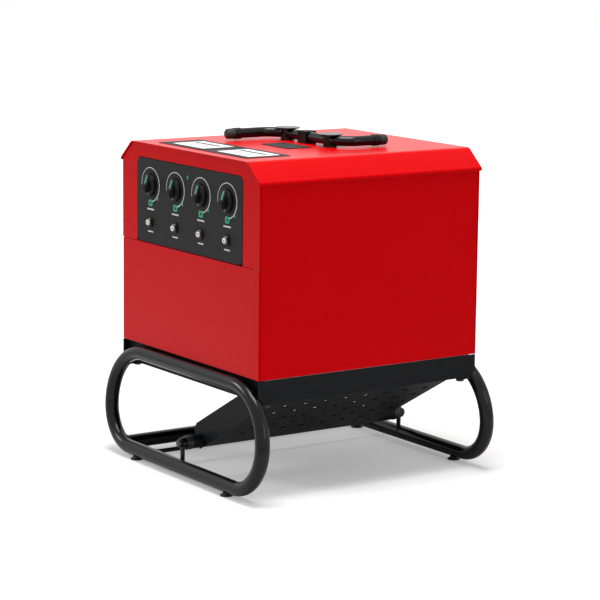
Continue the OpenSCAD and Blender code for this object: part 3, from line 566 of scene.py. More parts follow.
stand = {
    "tube": 12.7, "upperY": 232.3, "lowerY": 246.3, "upperZ": 194.3, "railZ": 18.7, "wideZ": 95.0,
    "reachX": 252.3, "crossIn": 22.0, "rodIn": 75.0, "rodRadius": 4.0, "rodZ": 23.5, "sunk": 2.0,
    "beadRadius": 1.5, "beadPitch": 1.6, "beadOut": 0.3}
splay = math.atan2(stand["lowerY"] - stand["upperY"], stand["upperZ"] - stand["railZ"])
lowRadius = (stand["wideZ"] - stand["railZ"]) / math.cos(splay)
highRadius = (stand["upperZ"] - stand["wideZ"]) / math.cos(splay)
lowX, highX = stand["reachX"] - lowRadius, stand["reachX"] - highRadius


# The loop's centreline, laid flat in (x, down), then splayed about its upper rail
def loopPath(side):
    flat, n = [], 28
    for k in range(n + 1):
        a = math.pi / 2 * (1 - k / n)
        flat.append((highX + highRadius * math.cos(a), -highRadius + highRadius * math.sin(a)))
    for k in range(1, n + 1):
        a = -math.pi / 2 * k / n
        flat.append((lowX + lowRadius * math.cos(a), -highRadius + lowRadius * math.sin(a)))
    flat += [(-x, z) for x, z in reversed(flat)]
    return [(x, side * (stand["upperY"] - z * math.sin(splay)), stand["upperZ"] + z * math.cos(splay))
            for x, z in flat]


for side, node in ((-1, "front_loop"), (1, "rear_loop")):
    loopBar = barAlong(node + "Bar", [loopPath(side)], stand["tube"], blackTubeEnamel, closed=True, sides=48)
    showPiece(pieceName(node, "Bent"), loopBar, None, stands=[node])

crossX = lowX + stand["crossIn"]
crossZ = stand["wideZ"] - math.cos(splay) * math.sqrt(lowRadius ** 2 - (crossX - lowX) ** 2)
crossY = stand["lowerY"] - (crossZ - stand["railZ"]) * math.tan(splay)
beadTemplate = bmesh.new()
bmesh.ops.create_icosphere(beadTemplate, subdivisions=1, radius=stand["beadRadius"])
beadTemplate = closeMesh(beadTemplate, "weldBlob", sharp=180)


# A row of small welded ripples where a bar of radius r along Y meets a loop's tube
def seamPlaces(x, z, r, y, side, lean=0.0):
    out = []
    count = max(12, int(2 * math.pi * r / stand["beadPitch"]))
    ringRadius = r + stand["beadOut"]
    for k in range(count):
        a = 2 * math.pi * k / count
        across = r * math.sin(a - lean)
        gap = math.sqrt(max(stand["tube"] ** 2 - across ** 2, 0.0))
        out.append((x + ringRadius * math.cos(a), side * (y - gap - 0.4), z + ringRadius * math.sin(a),
                    0, a * 3, k))
    return out


# A straight bar along Y between the loops, with a weld bead at each end
def showBar(name, node, x, y, z, radius, sides, beadRing, lean, beadSize):
    path = [(x, -y + stand["sunk"], z), (x, y - stand["sunk"], z)]
    straight = barAlong(name + "Bar", [path], radius, blackTubeEnamel, sides=sides)
    places = [place for side in (1, -1) for place in seamPlaces(x, z, beadRing, y, side, lean)]
    seams = repeatAt(name + "Seams", beadTemplate, places, blackTubeEnamel, beadSize)
    showPiece(name, joinMeshes(name + "Joined", [straight, seams]), blackTubeEnamel, stands=[node])


showBar("CrossTubeWelded", "cross_tube", -crossX, crossY, crossZ, stand["tube"], 48, stand["tube"] - 0.5,
        -math.asin(stand["crossIn"] / lowRadius), 1.0)
showBar("TieRodWelded", "tie_rod", stand["rodIn"] - lowX, stand["lowerY"], stand["rodZ"], stand["rodRadius"], 24,
        stand["rodRadius"], 0.0, 0.6)

# Moulded feet: a flared pad under a short neck
foot = {"radius": 11.5, "height": 6.0}
footMesh = bmesh.new()
addTurned(footMesh, [(0, 0), (foot["radius"] - 0.3, 0), (foot["radius"], 0.4), (foot["radius"], 1.6), (11.0, 2.1),
                     (8.6, 3.2), (7.2, 4.6), (6.8, foot["height"]), (0, foot["height"])], 40)
footMesh = closeMesh(footMesh, "footPad", sharp=45)
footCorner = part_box("feet")[1] / mm
footX, footY = footCorner.x - foot["radius"], footCorner.y - foot["radius"]
footPlaces = [(x, y, 0, 0, 0, 0) for x in (-footX, footX) for y in (-footY, footY)]
showCopies("FeetMoulded", footMesh, footPlaces, blackRubber, stands=["feet"])
print("stand done")


fastener = {"acrossFlats": 13.0, "head": 5.5, "nut": 6.5, "thread": 4.0, "pitch": 1.25, "past": 3.0,
            "fromSide": 13.0, "fromEnd": 23.0, "seatZ": 167.0, "nutZ": 172.0}


# Hexagon with a chamfered crown, from its seat at z = 0 up to height
def hexMesh(name, flats, height):
    bm = bmesh.new()
    corner, chamfer = flats / math.cos(math.pi / 6) / 2, flats / 2 - 0.2
    around = [(math.cos(math.pi / 3 * k), math.sin(math.pi / 3 * k)) for k in range(6)]
    rings = []
    for z, radius in ((0, corner * 0.97), (0.35, corner), (height - 0.9, corner), (height, chamfer)):
        rings.append([bm.verts.new((x * radius, y * radius, z)) for x, y in around])
    for low, high in zip(rings, rings[1:]):
        for k in range(6):
            bm.faces.new([low[k], low[(k + 1) % 6], high[(k + 1) % 6], high[k]])
    bm.faces.new(rings[0])
    bm.faces.new(rings[-1])
    bmesh.ops.bevel(bm, geom=list(bm.edges), offset=0.25, segments=1, affect="EDGES")
    return closeMesh(bm, name, sharp=25)


# Stud with turned thread rings from z0 to z1
def studMesh(name, radius, z0, z1, pitch):
    bm = bmesh.new()
    profile = [(0, z0), (radius - 0.6, z0)]
    z = z0 + 0.6
    while z + pitch < z1 - 0.4:
        profile += [(radius, z), (radius, z + pitch * 0.2), (radius - 0.6, z + pitch * 0.6)]
        z += pitch
    profile += [(radius - 0.6, z1), (0, z1)]
    addTurned(bm, profile, 20)
    return closeMesh(bm, name, sharp=50)


boltX, boltY = cabinet["halfWidth"] - fastener["fromSide"], cabinet["halfDepth"] - fastener["fromEnd"]
boltPlaces = [(x, y) for x in (-boltX, boltX) for y in (-boltY, boltY)]
head = hexMesh("boltHead", fastener["acrossFlats"], fastener["head"])
studLength = fastener["nutZ"] - fastener["seatZ"] + fastener["nut"] + fastener["past"]
stud = studMesh("boltStud", fastener["thread"], 0, studLength, fastener["pitch"])
headPlaces = [(x, y, fastener["seatZ"], math.pi, 0, x * 0.01) for x, y in boltPlaces]
studPlaces = [(x, y, fastener["seatZ"], 0, 0, 0) for x, y in boltPlaces]
frameBolts = joinMeshes("frameBoltsJoined", [repeatAt("frameBoltHeads", head, headPlaces, blackOxide),
                                             repeatAt("frameBoltStuds", stud, studPlaces, blackOxide)])
showPiece("FrameBoltsThreaded", frameBolts, blackOxide, stands=["frame_bolts"])
nut = hexMesh("frameNut", fastener["acrossFlats"], fastener["nut"])
showCopies("FrameNutsChamfered", nut, [(x, y, fastener["nutZ"], 0, 0, 0) for x, y in boltPlaces], zincPlate,
           stands=["frame_nuts"])

pivot = {"x": -6.5, "z": 58.5, "eyeY": 237.8, "eye": 9.0, "gap": 0.3, "reach": 14.0,
         "washers": 3, "washerPitch": 4.0, "washerHalf": 1.7, "washerRadius": 12.5, "washerBore": 4.1}
headY = pivot["eyeY"] + pivot["eye"] / 2
bore, rim, half = pivot["washerBore"], pivot["washerRadius"], pivot["washerHalf"]
washerTemplate = bmesh.new()
washerOutline = roundCorners([(bore, -half), (rim, -half), (rim, half), (bore, half)], 0.5)
addTurned(washerTemplate, washerOutline + [(bore, 0.5 - half)], 40)
washerTemplate = closeMesh(washerTemplate, "pivotWasher")
pivotHalf = (pivot["eyeY"] - pivot["eye"] / 2 - 2 * pivot["gap"] - pivot["washers"] * pivot["washerPitch"])
washerPlaces = [(pivot["x"], side * (pivotHalf + pivot["gap"] + half + k * pivot["washerPitch"]), pivot["z"],
                 math.pi / 2, 0, 0) for side in (-1, 1) for k in range(pivot["washers"])]
showCopies("PivotWashersTurned", washerTemplate, washerPlaces, blackOxide, stands=["pivot_washers"])
pivotStud = studMesh("pivotStud", fastener["thread"], 0, headY - (pivotHalf - pivot["reach"]), fastener["pitch"])
headPlaces = [(pivot["x"], side * headY, pivot["z"], -side * math.pi / 2, 0, 0) for side in (-1, 1)]
studPlaces = [(pivot["x"], side * headY, pivot["z"], side * math.pi / 2, 0, 0) for side in (-1, 1)]
pivotBolts = joinMeshes("pivotBoltsJoined", [repeatAt("pivotHeads", head, headPlaces, blackOxide),
                                             repeatAt("pivotStuds", pivotStud, studPlaces, blackOxide)])
showPiece("PivotBoltsThreaded", pivotBolts, blackOxide, stands=["pivot_bolts"])

# Pan-head screws on the rear; their cross recess is not cut but laid on the head as a flat near-black cross, a painted
# shade
screwHead = bmesh.new()
addTurned(screwHead, [(0, 0), (3.75, 0), (3.75, 0.7), (3.3, 1.5), (2.3, 2.05), (1.1, 2.2), (0, 2.2)], 28)
screwHead = closeMesh(screwHead, "panHead", sharp=60)
# Flat near-black cross standing 0.06 mm proud of the head: painted shade where a cross recess would be
paintedRecessShade = bmesh.new()
for a in (0, math.pi / 2):
    addPrism(paintedRecessShade, rectangle(3.4, 0.75), 2.0, 2.26, matrix=Matrix.Rotation(a, 4, "Z"))
paintedRecessShade = closeMesh(paintedRecessShade, "paintedRecessShade")
sideScrews = [(x * (224 - 10), 231.5, 211 + 30 + k * (334 - 60) / 3) for x in (-1, 1) for k in range(4)]
grilleScrews = [(x * 182, 233.5, 467 + z * 46) for x in (-1, 1) for z in (-1, 1)]
rearPlaces = [(x, y, z, -math.pi / 2, 0, 0.4 * i) for i, (x, y, z) in enumerate(sideScrews + grilleScrews)]
shank = studMesh("screwShank", 2.0, -7, 0.2, 0.8)
rearScrews = joinMeshes("rearScrewsAll", [repeatAt("rearHeads", screwHead, rearPlaces, zincPlate),
                                          repeatAt("rearShanks", shank, rearPlaces, zincPlate)])
showPiece("RearScrewsPanHead", rearScrews, zincPlate, stands=["rear_screws"])
showCopies("RearScrewRecesses", paintedRecessShade, rearPlaces, darkInkAndRecessShade, slot="zinc_steel")
print("fasteners done")


dialPrint = {"radius": 30.2, "startWidth": 0.9, "endWidth": 1.8, "from": 190.0, "to": -77.0,
             "tickX": 23.6, "tickZ": -23.4, "squareZ": -32.8, "barZ": -44.0, "lowBarZ": -84.1,
             "dotAt": 213.0, "dot": 3.6, "lift": 0.02, "ink": 0.12, "spareX": -1.5, "spareZ": 531.0}
knob = {"base": 20.5, "skirt": 4.6, "hub": 15.0, "grip": 14.0, "gripHalf": 6.2, "gap": 1.0, "ramp": 11.2,
        "rampEnd": 5.4, "step": 0.14, "lowEnd": -0.7, "dotZ": -16.4}
button = {"radius": 4.9, "out": 7.8, "length": 13.0, "collar": 10.0, "collarDepth": 1.9, "neck": 7.5,
          "neckOut": 4.9, "neckBack": -1.6, "clear": 0.35, "pitch": 0.9, "groove": 0.4, "turns": 7}
faceY = cabinet["panelFace"]


# Flat strip of ink between two radii, in (x, z) about a dial's centre
def addArc(bm, r, width0, width1, a0, a1, z0, z1, steps=72):
    rows = []
    for k in range(steps + 1):
        t = k / steps
        a, w = math.radians(a0 + (a1 - a0) * t), (width0 + (width1 - width0) * t) / 2
        rows.append([bm.verts.new((q * math.cos(a), q * math.sin(a), z))
                     for q, z in ((r - w, z0), (r + w, z0), (r + w, z1), (r - w, z1))])
    for one, two in zip(rows, rows[1:]):
        for k in range(4):
            bm.faces.new([one[k], one[(k + 1) % 4], two[(k + 1) % 4], two[k]])
    bm.faces.new(rows[0])
    bm.faces.new(rows[-1])


p = dialPrint
printTop = p["lift"] + p["ink"]
whiteMarks = bmesh.new()
addArc(whiteMarks, p["radius"], p["startWidth"], p["endWidth"], p["from"], p["to"], p["lift"], printTop)
addPrism(whiteMarks, rectangle(23, 2.6, 0.5, x=0, y=p["barZ"]), p["lift"], printTop)
addPrism(whiteMarks, rectangle(18, 2.4, 0.5, x=0, y=p["lowBarZ"]), p["lift"], printTop)
whiteMarks = closeMesh(whiteMarks, "whiteMarks")
greenMarks = bmesh.new()
ringOut = rectangle(13.4, 11.4, 2.6, 6, y=p["squareZ"])
ringIn = rectangle(6.0, 4.8, 1.2, 6, y=p["squareZ"])
levels = [[greenMarks.verts.new((x, z, h)) for x, z in run]
          for h in (p["lift"], printTop) for run in (ringOut, ringIn)]
count = len(ringOut)
for k in range(count):
    n = (k + 1) % count
    for a, b in ((0, 1), (2, 3), (0, 2), (1, 3)):
        greenMarks.faces.new([levels[a][k], levels[a][n], levels[b][n], levels[b][k]])
addPrism(greenMarks, rectangle(4.2, 5.4, 0.8, x=p["tickX"], y=p["tickZ"]), p["lift"], printTop)
greenMarks = closeMesh(greenMarks, "greenMarks")
darkMarks = bmesh.new()
dotAngle = math.radians(p["dotAt"])
dotOutline = rectangle(p["dot"], p["dot"], p["dot"] / 2 - 0.01, 6,
                       p["radius"] * math.cos(dotAngle), p["radius"] * math.sin(dotAngle))
addPrism(darkMarks, dotOutline, p["lift"], printTop)
addPrism(darkMarks, ringIn, p["lift"], printTop - 0.04)
darkMarks = closeMesh(darkMarks, "darkMarks")
dialPlaces = [(x, faceY, cabinet["knobZ"], math.pi / 2, 0, 0) for x in cabinet["controlX"]]
spareMark = bmesh.new()
addPrism(spareMark, rectangle(3.6, 6.4, 0.8), p["lift"], printTop)
spareMark = closeMesh(spareMark, "spareMark")
greens = [repeatAt("dialGreen", greenMarks, dialPlaces, greenInk),
          repeatAt("spareGreen", spareMark, [(p["spareX"], faceY, p["spareZ"], math.pi / 2, 0, 0)], greenInk)]
showCopies("DialMarksWhite", whiteMarks, dialPlaces, whiteInk, slot="charcoal_plate")
showPiece("DialMarksGreen", joinMeshes("dialGreenJoined", greens), greenInk, slot="charcoal_plate")
showCopies("DialMarksDark", darkMarks, dialPlaces, darkInkAndRecessShade, slot="charcoal_plate")


# Height of the grip above the panel side of the knob, at t from -1 (low rim) to 1 (pointer's rim):
# a low ramp carries the pointer, then the grip stands up at the middle and ends short of the rim
def gripHeight(t):
    ramp = knob["ramp"] + (knob["rampEnd"] - knob["ramp"]) * max(0.0, t - knob["step"]) / (1 - knob["step"])
    rise = min(1.0, max(0.0, (t - 0.02) / (knob["step"] - 0.02)))
    return knob["grip"] + (ramp - knob["grip"]) * rise * rise * (3 - 2 * rise)


def knobMesh(name):
    bm = bmesh.new()
    skirt = roundCorners([(0, 0), (knob["base"], 0), (knob["base"] - 0.9, knob["skirt"]),
                          (knob["hub"], knob["skirt"] + 0.4), (knob["hub"] - 1.4, knob["skirt"] + 1.5),
                          (0, knob["skirt"] + 1.5)], [0, 0.5, 1.2, 0.8, 0.8, 0], closed=False)
    addTurned(bm, skirt, 72)
    half = knob["base"] - 1.1
    stations = [knob["lowEnd"] + k * 0.035 for k in range(int(-knob["lowEnd"] / 0.035))]
    stations += [k * 0.02 for k in range(9)] + [0.2 + 0.08 * k for k in range(11)]
    rows = []
    for t in stations:
        edge = min(1.0, max(0.0, (t - knob["lowEnd"]) / 0.14))
        endRound = math.sqrt(max(0.0, 1 - (1 - edge) ** 2))
        wide = knob["gripHalf"] * (0.45 + 0.55 * endRound)
        top = gripHeight(t) - 1.6 * (1 - endRound)
        row = [bm.verts.new((-wide * 1.1, t * half, 0.5))]
        for j in range(13):
            u = -1 + 2 * j / 12
            drop = max(0.0, (abs(u) - 0.76) / 0.24)
            row.append(bm.verts.new((wide * u, t * half, max(top - 1.4 * drop ** 2.2, 0.5))))
        row.append(bm.verts.new((wide * 1.1, t * half, 0.5)))
        rows.append(row)
    for one, two in zip(rows, rows[1:]):
        for j in range(len(one)):
            n = (j + 1) % len(one)
            bm.faces.new([one[j], one[n], two[n], two[j]])
    bm.faces.new(rows[0])
    bm.faces.new(rows[-1])
    return closeMesh(bm, name, sharp=40)


# Pointer line of inlaid green, following the ramp
def pointerMesh(name):
    bm = bmesh.new()
    half, rows = knob["base"] - 1.1, []
    for i in range(15):
        t = 0.17 + 0.68 * i / 14
        rows.append([bm.verts.new((x, t * half, gripHeight(t) + lift))
                     for x, lift in ((-1.6, -0.4), (1.6, -0.4), (1.6, 0.07), (-1.6, 0.07))])
    for one, two in zip(rows, rows[1:]):
        for j in range(4):
            bm.faces.new([one[j], one[(j + 1) % 4], two[(j + 1) % 4], two[j]])
    bm.faces.new(rows[0])
    bm.faces.new(rows[-1])
    return closeMesh(bm, name)


# Small white index on the skirt, below the grip
def dotMesh(name):
    bm = bmesh.new()
    spot = Matrix.Translation((0, knob["dotZ"], knob["skirt"] + 0.2))
    addTurned(bm, [(0, -0.4), (1.1, -0.4), (1.1, 0.12), (0, 0.12)], 16, spot)
    return closeMesh(bm, name)


for i, x in enumerate(cabinet["controlX"]):
    spot = Matrix.Translation(Vector((x, faceY - knob["gap"], cabinet["knobZ"])) * mm) @ turnToFront
    body = nodes[f"knob_{i + 1}"]["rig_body"]
    for kind, build, material, stands in (("Moulding", knobMesh, blackAbs, [f"knob_{i + 1}"]),
                                          ("Pointer", pointerMesh, greenInk, []), ("Dot", dotMesh, whiteInk, [])):
        mesh = build(f"knob{kind}{i + 1}")
        mesh.transform(spot)
        showPiece(f"Knob{i + 1}{kind}", mesh, material, stands=stands, body=body, slot="black_plastic")

# Push buttons: a dished white cap with a grey disc at the dish's centre, a painted shade of the dimple, in a threaded
# neck with a thin ring
r, out, back = button["radius"], button["out"], button["out"] - button["length"]
capProfile = [(0, back), (r - 0.4, back), (r, back + 0.4), (r, out - 1.3), (r - 0.35, out - 0.5), (r - 1.2, out),
              (r - 2.0, out), (r - 2.6, out - 0.7), (r - 4, out - 0.9), (0, out - 0.95)]
# Grey disc whose top shows at the bottom of the dish: painted shade of the dimple
dimpleShadeProfile = [(0, out - 1.3), (2.5, out - 1.3), (2.5, out - 0.82), (2.2, out - 0.76), (0, out - 0.76)]
for i, x in enumerate(cabinet["controlX"]):
    spot = Matrix.Translation(Vector((x, faceY, cabinet["buttonZ"])) * mm) @ turnToFront
    onCap = {"body": nodes[f"reset_button_{i + 1}"]["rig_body"], "slot": "white_plastic"}
    for kind, profile, sides, material, known in (
            ("Cap", capProfile, 48, whiteNylon, {"stands": [f"reset_button_{i + 1}"]}),
            ("Index", dimpleShadeProfile, 24, greyInkAndDimpleShade, onCap)):
        bm = bmesh.new()
        addTurned(bm, profile, sides)
        mesh = closeMesh(bm, f"button{kind}{i + 1}", sharp=50)
        mesh.transform(spot)
        showPiece(f"Button{i + 1}{kind}", mesh, material, **known)
ringMesh = bmesh.new()
ringIn, ringOut, ringTop = button["neck"] + 0.05, button["collar"], button["collarDepth"]
ringOutline = roundCorners([(ringIn, 0), (ringOut, 0), (ringOut, ringTop), (ringIn, ringTop)], [0, 0, 0.6, 0.3])
addTurned(ringMesh, ringOutline + [(ringIn, 0)], 56)
ringMesh = closeMesh(ringMesh, "collarRing")
neckMesh = bmesh.new()
wall, crest, root = r + button["clear"], button["neck"] - 0.2, button["neck"] - 0.2 - button["groove"]
base, end, pitch = button["neckBack"], button["neckOut"], button["pitch"]
neckProfile = [(wall, base), (crest, base)]
for k in range(button["turns"]):
    z = base + 0.2 + k * pitch
    neckProfile += [(crest, z), (crest, z + 0.35 * pitch), (root, z + 0.6 * pitch)]
neckProfile += [(crest - 0.4, end), (wall + 0.3, end), (wall, end - 0.3), (wall, base)]
addTurned(neckMesh, neckProfile, 48)
neckMesh = closeMesh(neckMesh, "neckThread", sharp=60)
low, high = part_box("breakers")
blockOutline = rectangle(2 * (high.x / mm - cabinet["controlX"][3]), (high.z - low.z) / mm, 1.0, 3)
blockMesh = bmesh.new()
addPrism(blockMesh, blockOutline, faceY - high.y / mm, base, edge=0.6)
blockMesh = closeMesh(blockMesh, "breakerBlock")
buttonPlaces = [(x, faceY, cabinet["buttonZ"], math.pi / 2, 0, 0) for x in cabinet["controlX"]]
showCopies("ButtonCollarsTurned", ringMesh, buttonPlaces, blackAbs, stands=["button_collars"])
showCopies("BreakerBlocks", blockMesh, buttonPlaces, blackAbs, stands=["breakers"])
showCopies("BreakerNecksThreaded", neckMesh, buttonPlaces, nickelPlate, slot="black_plastic")
print("control panel done")


low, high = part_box("deflector")


# The two long folds get a wide round, every other edge a small one
def foldWeight(line):
    if len(line.link_faces) != 2 or line.calc_face_angle(0) < math.radians(35):
        return 0.0
    a, b = line.verts[0].co, line.verts[1].co
    onFold = min(abs(a.y), abs(b.y)) > high.y - 0.1 * mm and (b - a).length > 150 * mm and min(a.z, b.z) < 0.06
    return 1.0 if onFold else 0.25


refineNode("DeflectorFolded", "deflector", blackPowderCoat, edge=1.7, segments=4, weigh=foldWeight)
print("deflector done")


handle = {"radius": 9.0, "z": 590.0, "y": 20.0, "half": 70.0, "bend": 36.0, "rearArm": 42.0, "frontArm": 56.0}


def handlePath():
    h, runs = handle, []
    for arm in (h["rearArm"], h["frontArm"]):
        run = [(0, 0), (h["half"], 0)]
        for k in range(1, 25):
            a = math.pi / 2 * k / 24
            run.append((h["half"] + h["bend"] * math.sin(a), h["bend"] * (1 - math.cos(a))))
        run.append((h["half"] + h["bend"], h["bend"] + arm))
        runs.append(run)
    front = [(-x, -y) for x, y in reversed(runs[1])]
    return [(x, y + h["y"], h["z"]) for x, y in front[:-1] + runs[0][1:]]


showPiece("HandleBarBent", barAlong("handleBent", [handlePath()], handle["radius"], blackTubeEnamel, sides=40), None, stands=["handle_bar"])
armX = handle["half"] + handle["bend"]
ends = [(armX, handle["y"] + handle["bend"] + handle["rearArm"], 1), (-armX, handle["y"] - handle["bend"] - handle["frontArm"], -1)]
plugMesh = bmesh.new()
plugProfile = [(0, 0), (9.5, 0), (9.5, 2.2), (9.1, 2.5), (9.1, 3.3), (9.5, 3.6), (9.5, 6.0), (9.1, 6.3), (9.1, 7.1), (9.5, 7.4),
               (9.5, 11.0), (9.1, 12.8), (8.1, 14.3), (6.4, 15.4), (3.6, 15.9), (0, 16)]
addTurned(plugMesh, plugProfile, 44)
plugMesh = closeMesh(plugMesh, "ribbedPlug", sharp=40)
ringMesh = bmesh.new()
addTurned(ringMesh, roundCorners([(9.05, -15), (10.3, -15), (10.3, -1), (9.05, -1)], [0, 0.7, 0.7, 0]) + [(9.05, -15)], 44)
ringMesh = closeMesh(ringMesh, "handleRing")
endPlaces = [(x, y, handle["z"], -math.pi / 2 * s, 0, 0) for x, y, s in ends]
showCopies("HandlePlugsRibbed", plugMesh, endPlaces, blackRubber, stands=["handle_end_plugs"])
showCopies("HandleRingsTurned", ringMesh, endPlaces, blackTubeEnamel, stands=["handle_collars"])
print("handle done")


labels = {"width": 142.0, "depth": 90.0, "between": 4.0, "middleX": 9.0, "middleY": -166.5, "fieldWidth": 103.0, "fieldDepth": 64.0,
          "fieldX": 6.0, "fieldY": 1.5, "bars": [(-10, 12, 80, 9.0)], "faintBars": [(-16, -2, 60, 5.0), (-12, -14, 68, 5.0)]}
top = cabinet["roofTop"]
plateCentres = [(labels["middleX"] + side * (labels["width"] + labels["between"]) / 2, labels["middleY"]) for side in (-1, 1)]
plateMesh = bmesh.new()
addPrism(plateMesh, rectangle(labels["width"], labels["depth"], 2, 5), 0, 0.9, edge=0.25)
plateMesh = closeMesh(plateMesh, "labelPlate")
fieldMesh = bmesh.new()
addPrism(fieldMesh, rectangle(labels["fieldWidth"], labels["fieldDepth"], 2, 4, labels["fieldX"], labels["fieldY"]), 0.85, 0.97)
fieldMesh = closeMesh(fieldMesh, "labelField")
barMeshes = []
for label, bars in (("labelBars", labels["bars"]), ("labelFaintBars", labels["faintBars"])):
    bm = bmesh.new()
    for x, y, w, h in bars:
        addPrism(bm, rectangle(w, h, 0.8, 3, labels["fieldX"] + x + 8, labels["fieldY"] + y), 0.9, 1.0)
    barMeshes.append(closeMesh(bm, label))
platePlaces = [(x, y, top, 0, 0, 0) for x, y in plateCentres]
showCopies("LabelPlates", plateMesh, platePlaces, charcoalPlate, stands=["top_labels"])
showCopies("LabelFields", fieldMesh, platePlaces, labelFilm, slot="charcoal_plate")
showCopies("LabelBars", barMeshes[0], platePlaces, darkInkAndRecessShade, slot="charcoal_plate")
showCopies("LabelFaintBars", barMeshes[1], platePlaces, greyInkAndDimpleShade, slot="charcoal_plate")
spareMesh = bmesh.new()
addPrism(spareMesh, rectangle(88, 50, 4, 5, x=21, y=-42), top, top + 1.2, edge=0.35)
showPiece("BlankPlatePressed", closeMesh(spareMesh, "blankPlate"), charcoalPlate, stands=["blank_plate"])
print("plates done")


fan = {"y": 8.0, "z": 383.0, "hub": 45.0, "hubHeight": 34.0, "tip": 172.0, "blades": 6, "pitch": 34.0, "thick": 3.0, "chord": 58.0}
bladeMesh = bmesh.new()
rows = []
for i in range(15):
    t = i / 14
    r = fan["hub"] - 3 + (fan["tip"] - fan["hub"] + 3) * t
    angle = math.radians(fan["pitch"] + 8 * (1 - t) - 4)
    chord = fan["chord"] * (0.86 + 0.1 * math.sin(math.pi * t))
    row = []
    for side in (1, -1):
        for j in range(9):
            u = (-1 + 2 * j / 8) * side
            camber = 4.5 * (1 - u * u)
            half = fan["thick"] / 2 * (1 - 0.8 * abs(u) ** 3) * side
            along, up = u * chord / 2, camber - 2.2 + half
            y, z = along * math.cos(angle) - up * math.sin(angle), along * math.sin(angle) + up * math.cos(angle)
            z = max(-fan["hubHeight"] / 2 + 0.4, min(fan["hubHeight"] / 2 - 0.4, z))
            sweep = y / max(r, 1)
            row.append(bladeMesh.verts.new((r * math.cos(sweep), r * math.sin(sweep), z)))
    rows.append(row)
for one, two in zip(rows, rows[1:]):
    for j in range(len(one)):
        n = (j + 1) % len(one)
        bladeMesh.faces.new([one[j], one[n], two[n], two[j]])
bladeMesh.faces.new(rows[0])
bladeMesh.faces.new(rows[-1])
bladeMesh = closeMesh(bladeMesh, "fanBlade", sharp=50)
blades = repeatAt("fanBlades", bladeMesh, [(0, fan["y"], fan["z"], 0, 0, 2 * math.pi * k / fan["blades"]) for k in range(fan["blades"])],
                  filledNylon)
hubMesh = bmesh.new()
addTurned(hubMesh, roundCorners([(6.2, -17), (40, -17), (45, -12), (45, 17), (41, 17), (38, 13), (16, 13), (14, 17), (6.2, 17)],
                                [0, 2, 3, 1, 1, 3, 3, 1, 0]) + [(6.2, -17)], 64)
hubMesh = closeMesh(hubMesh, "fanHub", sharp=45)
hub = repeatAt("fanHubAll", hubMesh, [(0, fan["y"], fan["z"], 0, 0, 0)], filledNylon)
showPiece("FanImpellerMoulded", joinMeshes("fanImpeller", [blades, hub]), filledNylon, stands=["fan_impeller"])

heater = {"z": 287.0, "pitch": 80.0, "rod": 5.0, "fins": 22, "halfLength": 221.4, "halfRun": 196.0}
finMesh = bmesh.new()
addTurned(finMesh, [(5.0, -0.6), (17.7, -0.6), (18.0, -0.3), (18.0, 0.3), (17.7, 0.6), (5.0, 0.6), (5.0, -0.6)], 36)
finMesh = closeMesh(finMesh, "heaterFin", sharp=50)
step = 2 * heater["halfRun"] / (heater["fins"] - 1)
rowsY = [heater["pitch"] * k for k in (-1.5, -0.5, 0.5, 1.5)]
finPlaces = [(-heater["halfRun"] + step * i, y, heater["z"], 0, math.pi / 2, 0) for y in rowsY for i in range(heater["fins"])]
rods = barAlong("heaterRods", [[(-heater["halfLength"], y, heater["z"]), (heater["halfLength"], y, heater["z"])] for y in rowsY],
                heater["rod"], stainlessSteel, sides=24)
showPiece("HeaterElementsFinned", joinMeshes("heaterElements", [rods, repeatAt("heaterFins", finMesh, finPlaces, stainlessSteel)]),
          stainlessSteel, stands=["heater_elements"])
print("fan and heater done")


setting = {"camera": (3.39627, -2.31781, 1.02030), "azimuth": 55.624, "elevation": 10.003, "roll": 0.643, "lens": 138.886,
           "world": 0.4, "overhead": 56.0, "front": 30.0, "side": 12.0, "floorGlow": 0.27, "fadeFrom": 0.9, "fadeTo": 2.6}

floorMesh = bpy.data.meshes.new("studioFloor")
bm = bmesh.new()
bmesh.ops.create_grid(bm, x_segments=2, y_segments=2, size=9)
bm.to_mesh(floorMesh)
bm.free()
floor = bpy.data.objects.new("StudioFloor", floorMesh)
bpy.context.scene.collection.objects.link(floor)

# Matte white paper floor: it keeps the soft shadow, and turns to plain white away from the machine
paper = bpy.data.materials.new("whitePaperFloor")
paper.use_nodes = True
tree = paper.node_tree
tree.nodes.clear()
ray = addNode(tree, "ShaderNodeLightPath")
where = addNode(tree, "ShaderNodeTexCoord").outputs["Object"]
away = addNode(tree, "ShaderNodeVectorMath", links={0: where}, operation="LENGTH")
fade = addNode(tree, "ShaderNodeMapRange", {"From Min": setting["fadeFrom"], "From Max": setting["fadeTo"],
                                            "To Min": setting["floorGlow"], "To Max": 1.0}, {"Value": away.outputs["Value"]})
glowLevel = addNode(tree, "ShaderNodeMath", links={0: fade.outputs["Result"], 1: ray.outputs["Is Camera Ray"]}, operation="MULTIPLY")
diffuse = addNode(tree, "ShaderNodeBsdfDiffuse", {"Color": toLinear("#EBEBEB")})
glow = addNode(tree, "ShaderNodeEmission", {"Color": (1, 1, 1, 1)}, {"Strength": glowLevel.outputs[0]})
both = addNode(tree, "ShaderNodeAddShader", links={0: diffuse.outputs[0], 1: glow.outputs[0]})
addNode(tree, "ShaderNodeOutputMaterial", links={"Surface": both.outputs[0]})
floorMesh.materials.append(paper)

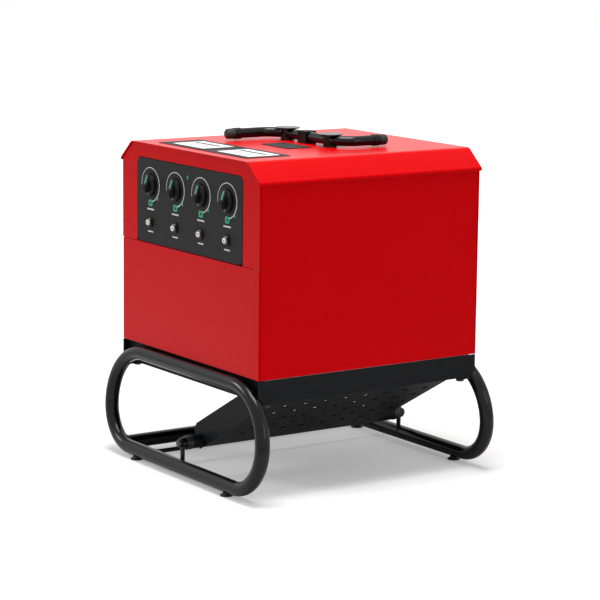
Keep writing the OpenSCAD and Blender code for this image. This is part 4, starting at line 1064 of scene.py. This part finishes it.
world = bpy.data.worlds.new("studioWorld")
bpy.context.scene.world = world
world.use_nodes = True
tree = world.node_tree
tree.nodes.clear()
ray = addNode(tree, "ShaderNodeLightPath")
shown = addNode(tree, "ShaderNodeMath", links={0: ray.outputs["Is Camera Ray"], 1: ray.outputs["Is Glossy Ray"]}, operation="MAXIMUM")
shown = addNode(tree, "ShaderNodeMath", links={0: shown.outputs[0], 1: ray.outputs["Is Transmission Ray"]}, operation="MAXIMUM")
level = addNode(tree, "ShaderNodeMapRange", {"To Min": setting["world"], "To Max": 1.0}, {"Value": shown.outputs[0]})
sky = addNode(tree, "ShaderNodeBackground", {"Color": (1, 1, 1, 1)}, {"Strength": level.outputs["Result"]})
addNode(tree, "ShaderNodeOutputWorld", links={"Surface": sky.outputs[0]})


def softbox(name, at, aim, size, power):
    lamp = bpy.data.lights.new(name, "AREA")
    lamp.shape, lamp.size, lamp.size_y, lamp.energy = "RECTANGLE", size[0], size[1], power
    holder = bpy.data.objects.new(name, lamp)
    bpy.context.scene.collection.objects.link(holder)
    holder.location = at
    holder.rotation_euler = (Vector(aim) - Vector(at)).to_track_quat("-Z", "Y").to_euler()


softbox("overheadSoftbox", (0.15, -0.15, 2.4), (0, 0, 0.4), (1.2, 1.2), setting["overhead"])
softbox("frontSoftbox", (-2.2, -2.4, 1.9), (0, 0, 0.4), (1.0, 1.0), setting["front"])
softbox("sideSoftbox", (3.2, 0.6, 1.6), (0, 0, 0.4), (1.4, 1.4), setting["side"])

camera = bpy.data.cameras.new("studioCamera")
camera.lens, camera.sensor_width = setting["lens"], 36
camera.clip_start, camera.clip_end = 0.1, 50
viewer = bpy.data.objects.new("studioCamera", camera)
bpy.context.scene.collection.objects.link(viewer)
azimuth, elevation, roll = (math.radians(setting[k]) for k in ("azimuth", "elevation", "roll"))
back = Vector((math.sin(azimuth) * math.cos(elevation), -math.cos(azimuth) * math.cos(elevation), math.sin(elevation)))
right = (-back).cross(Vector((0, 0, 1))).normalized()
up = right.cross(-back)
tilted = math.cos(roll) * right + math.sin(roll) * up
raised = -math.sin(roll) * right + math.cos(roll) * up
viewer.matrix_world = Matrix.Translation(setting["camera"]) @ Matrix((tilted, raised, back)).transposed().to_4x4()
bpy.context.scene.camera = viewer
bpy.context.scene.view_settings.view_transform = "Standard"
print("stage done")
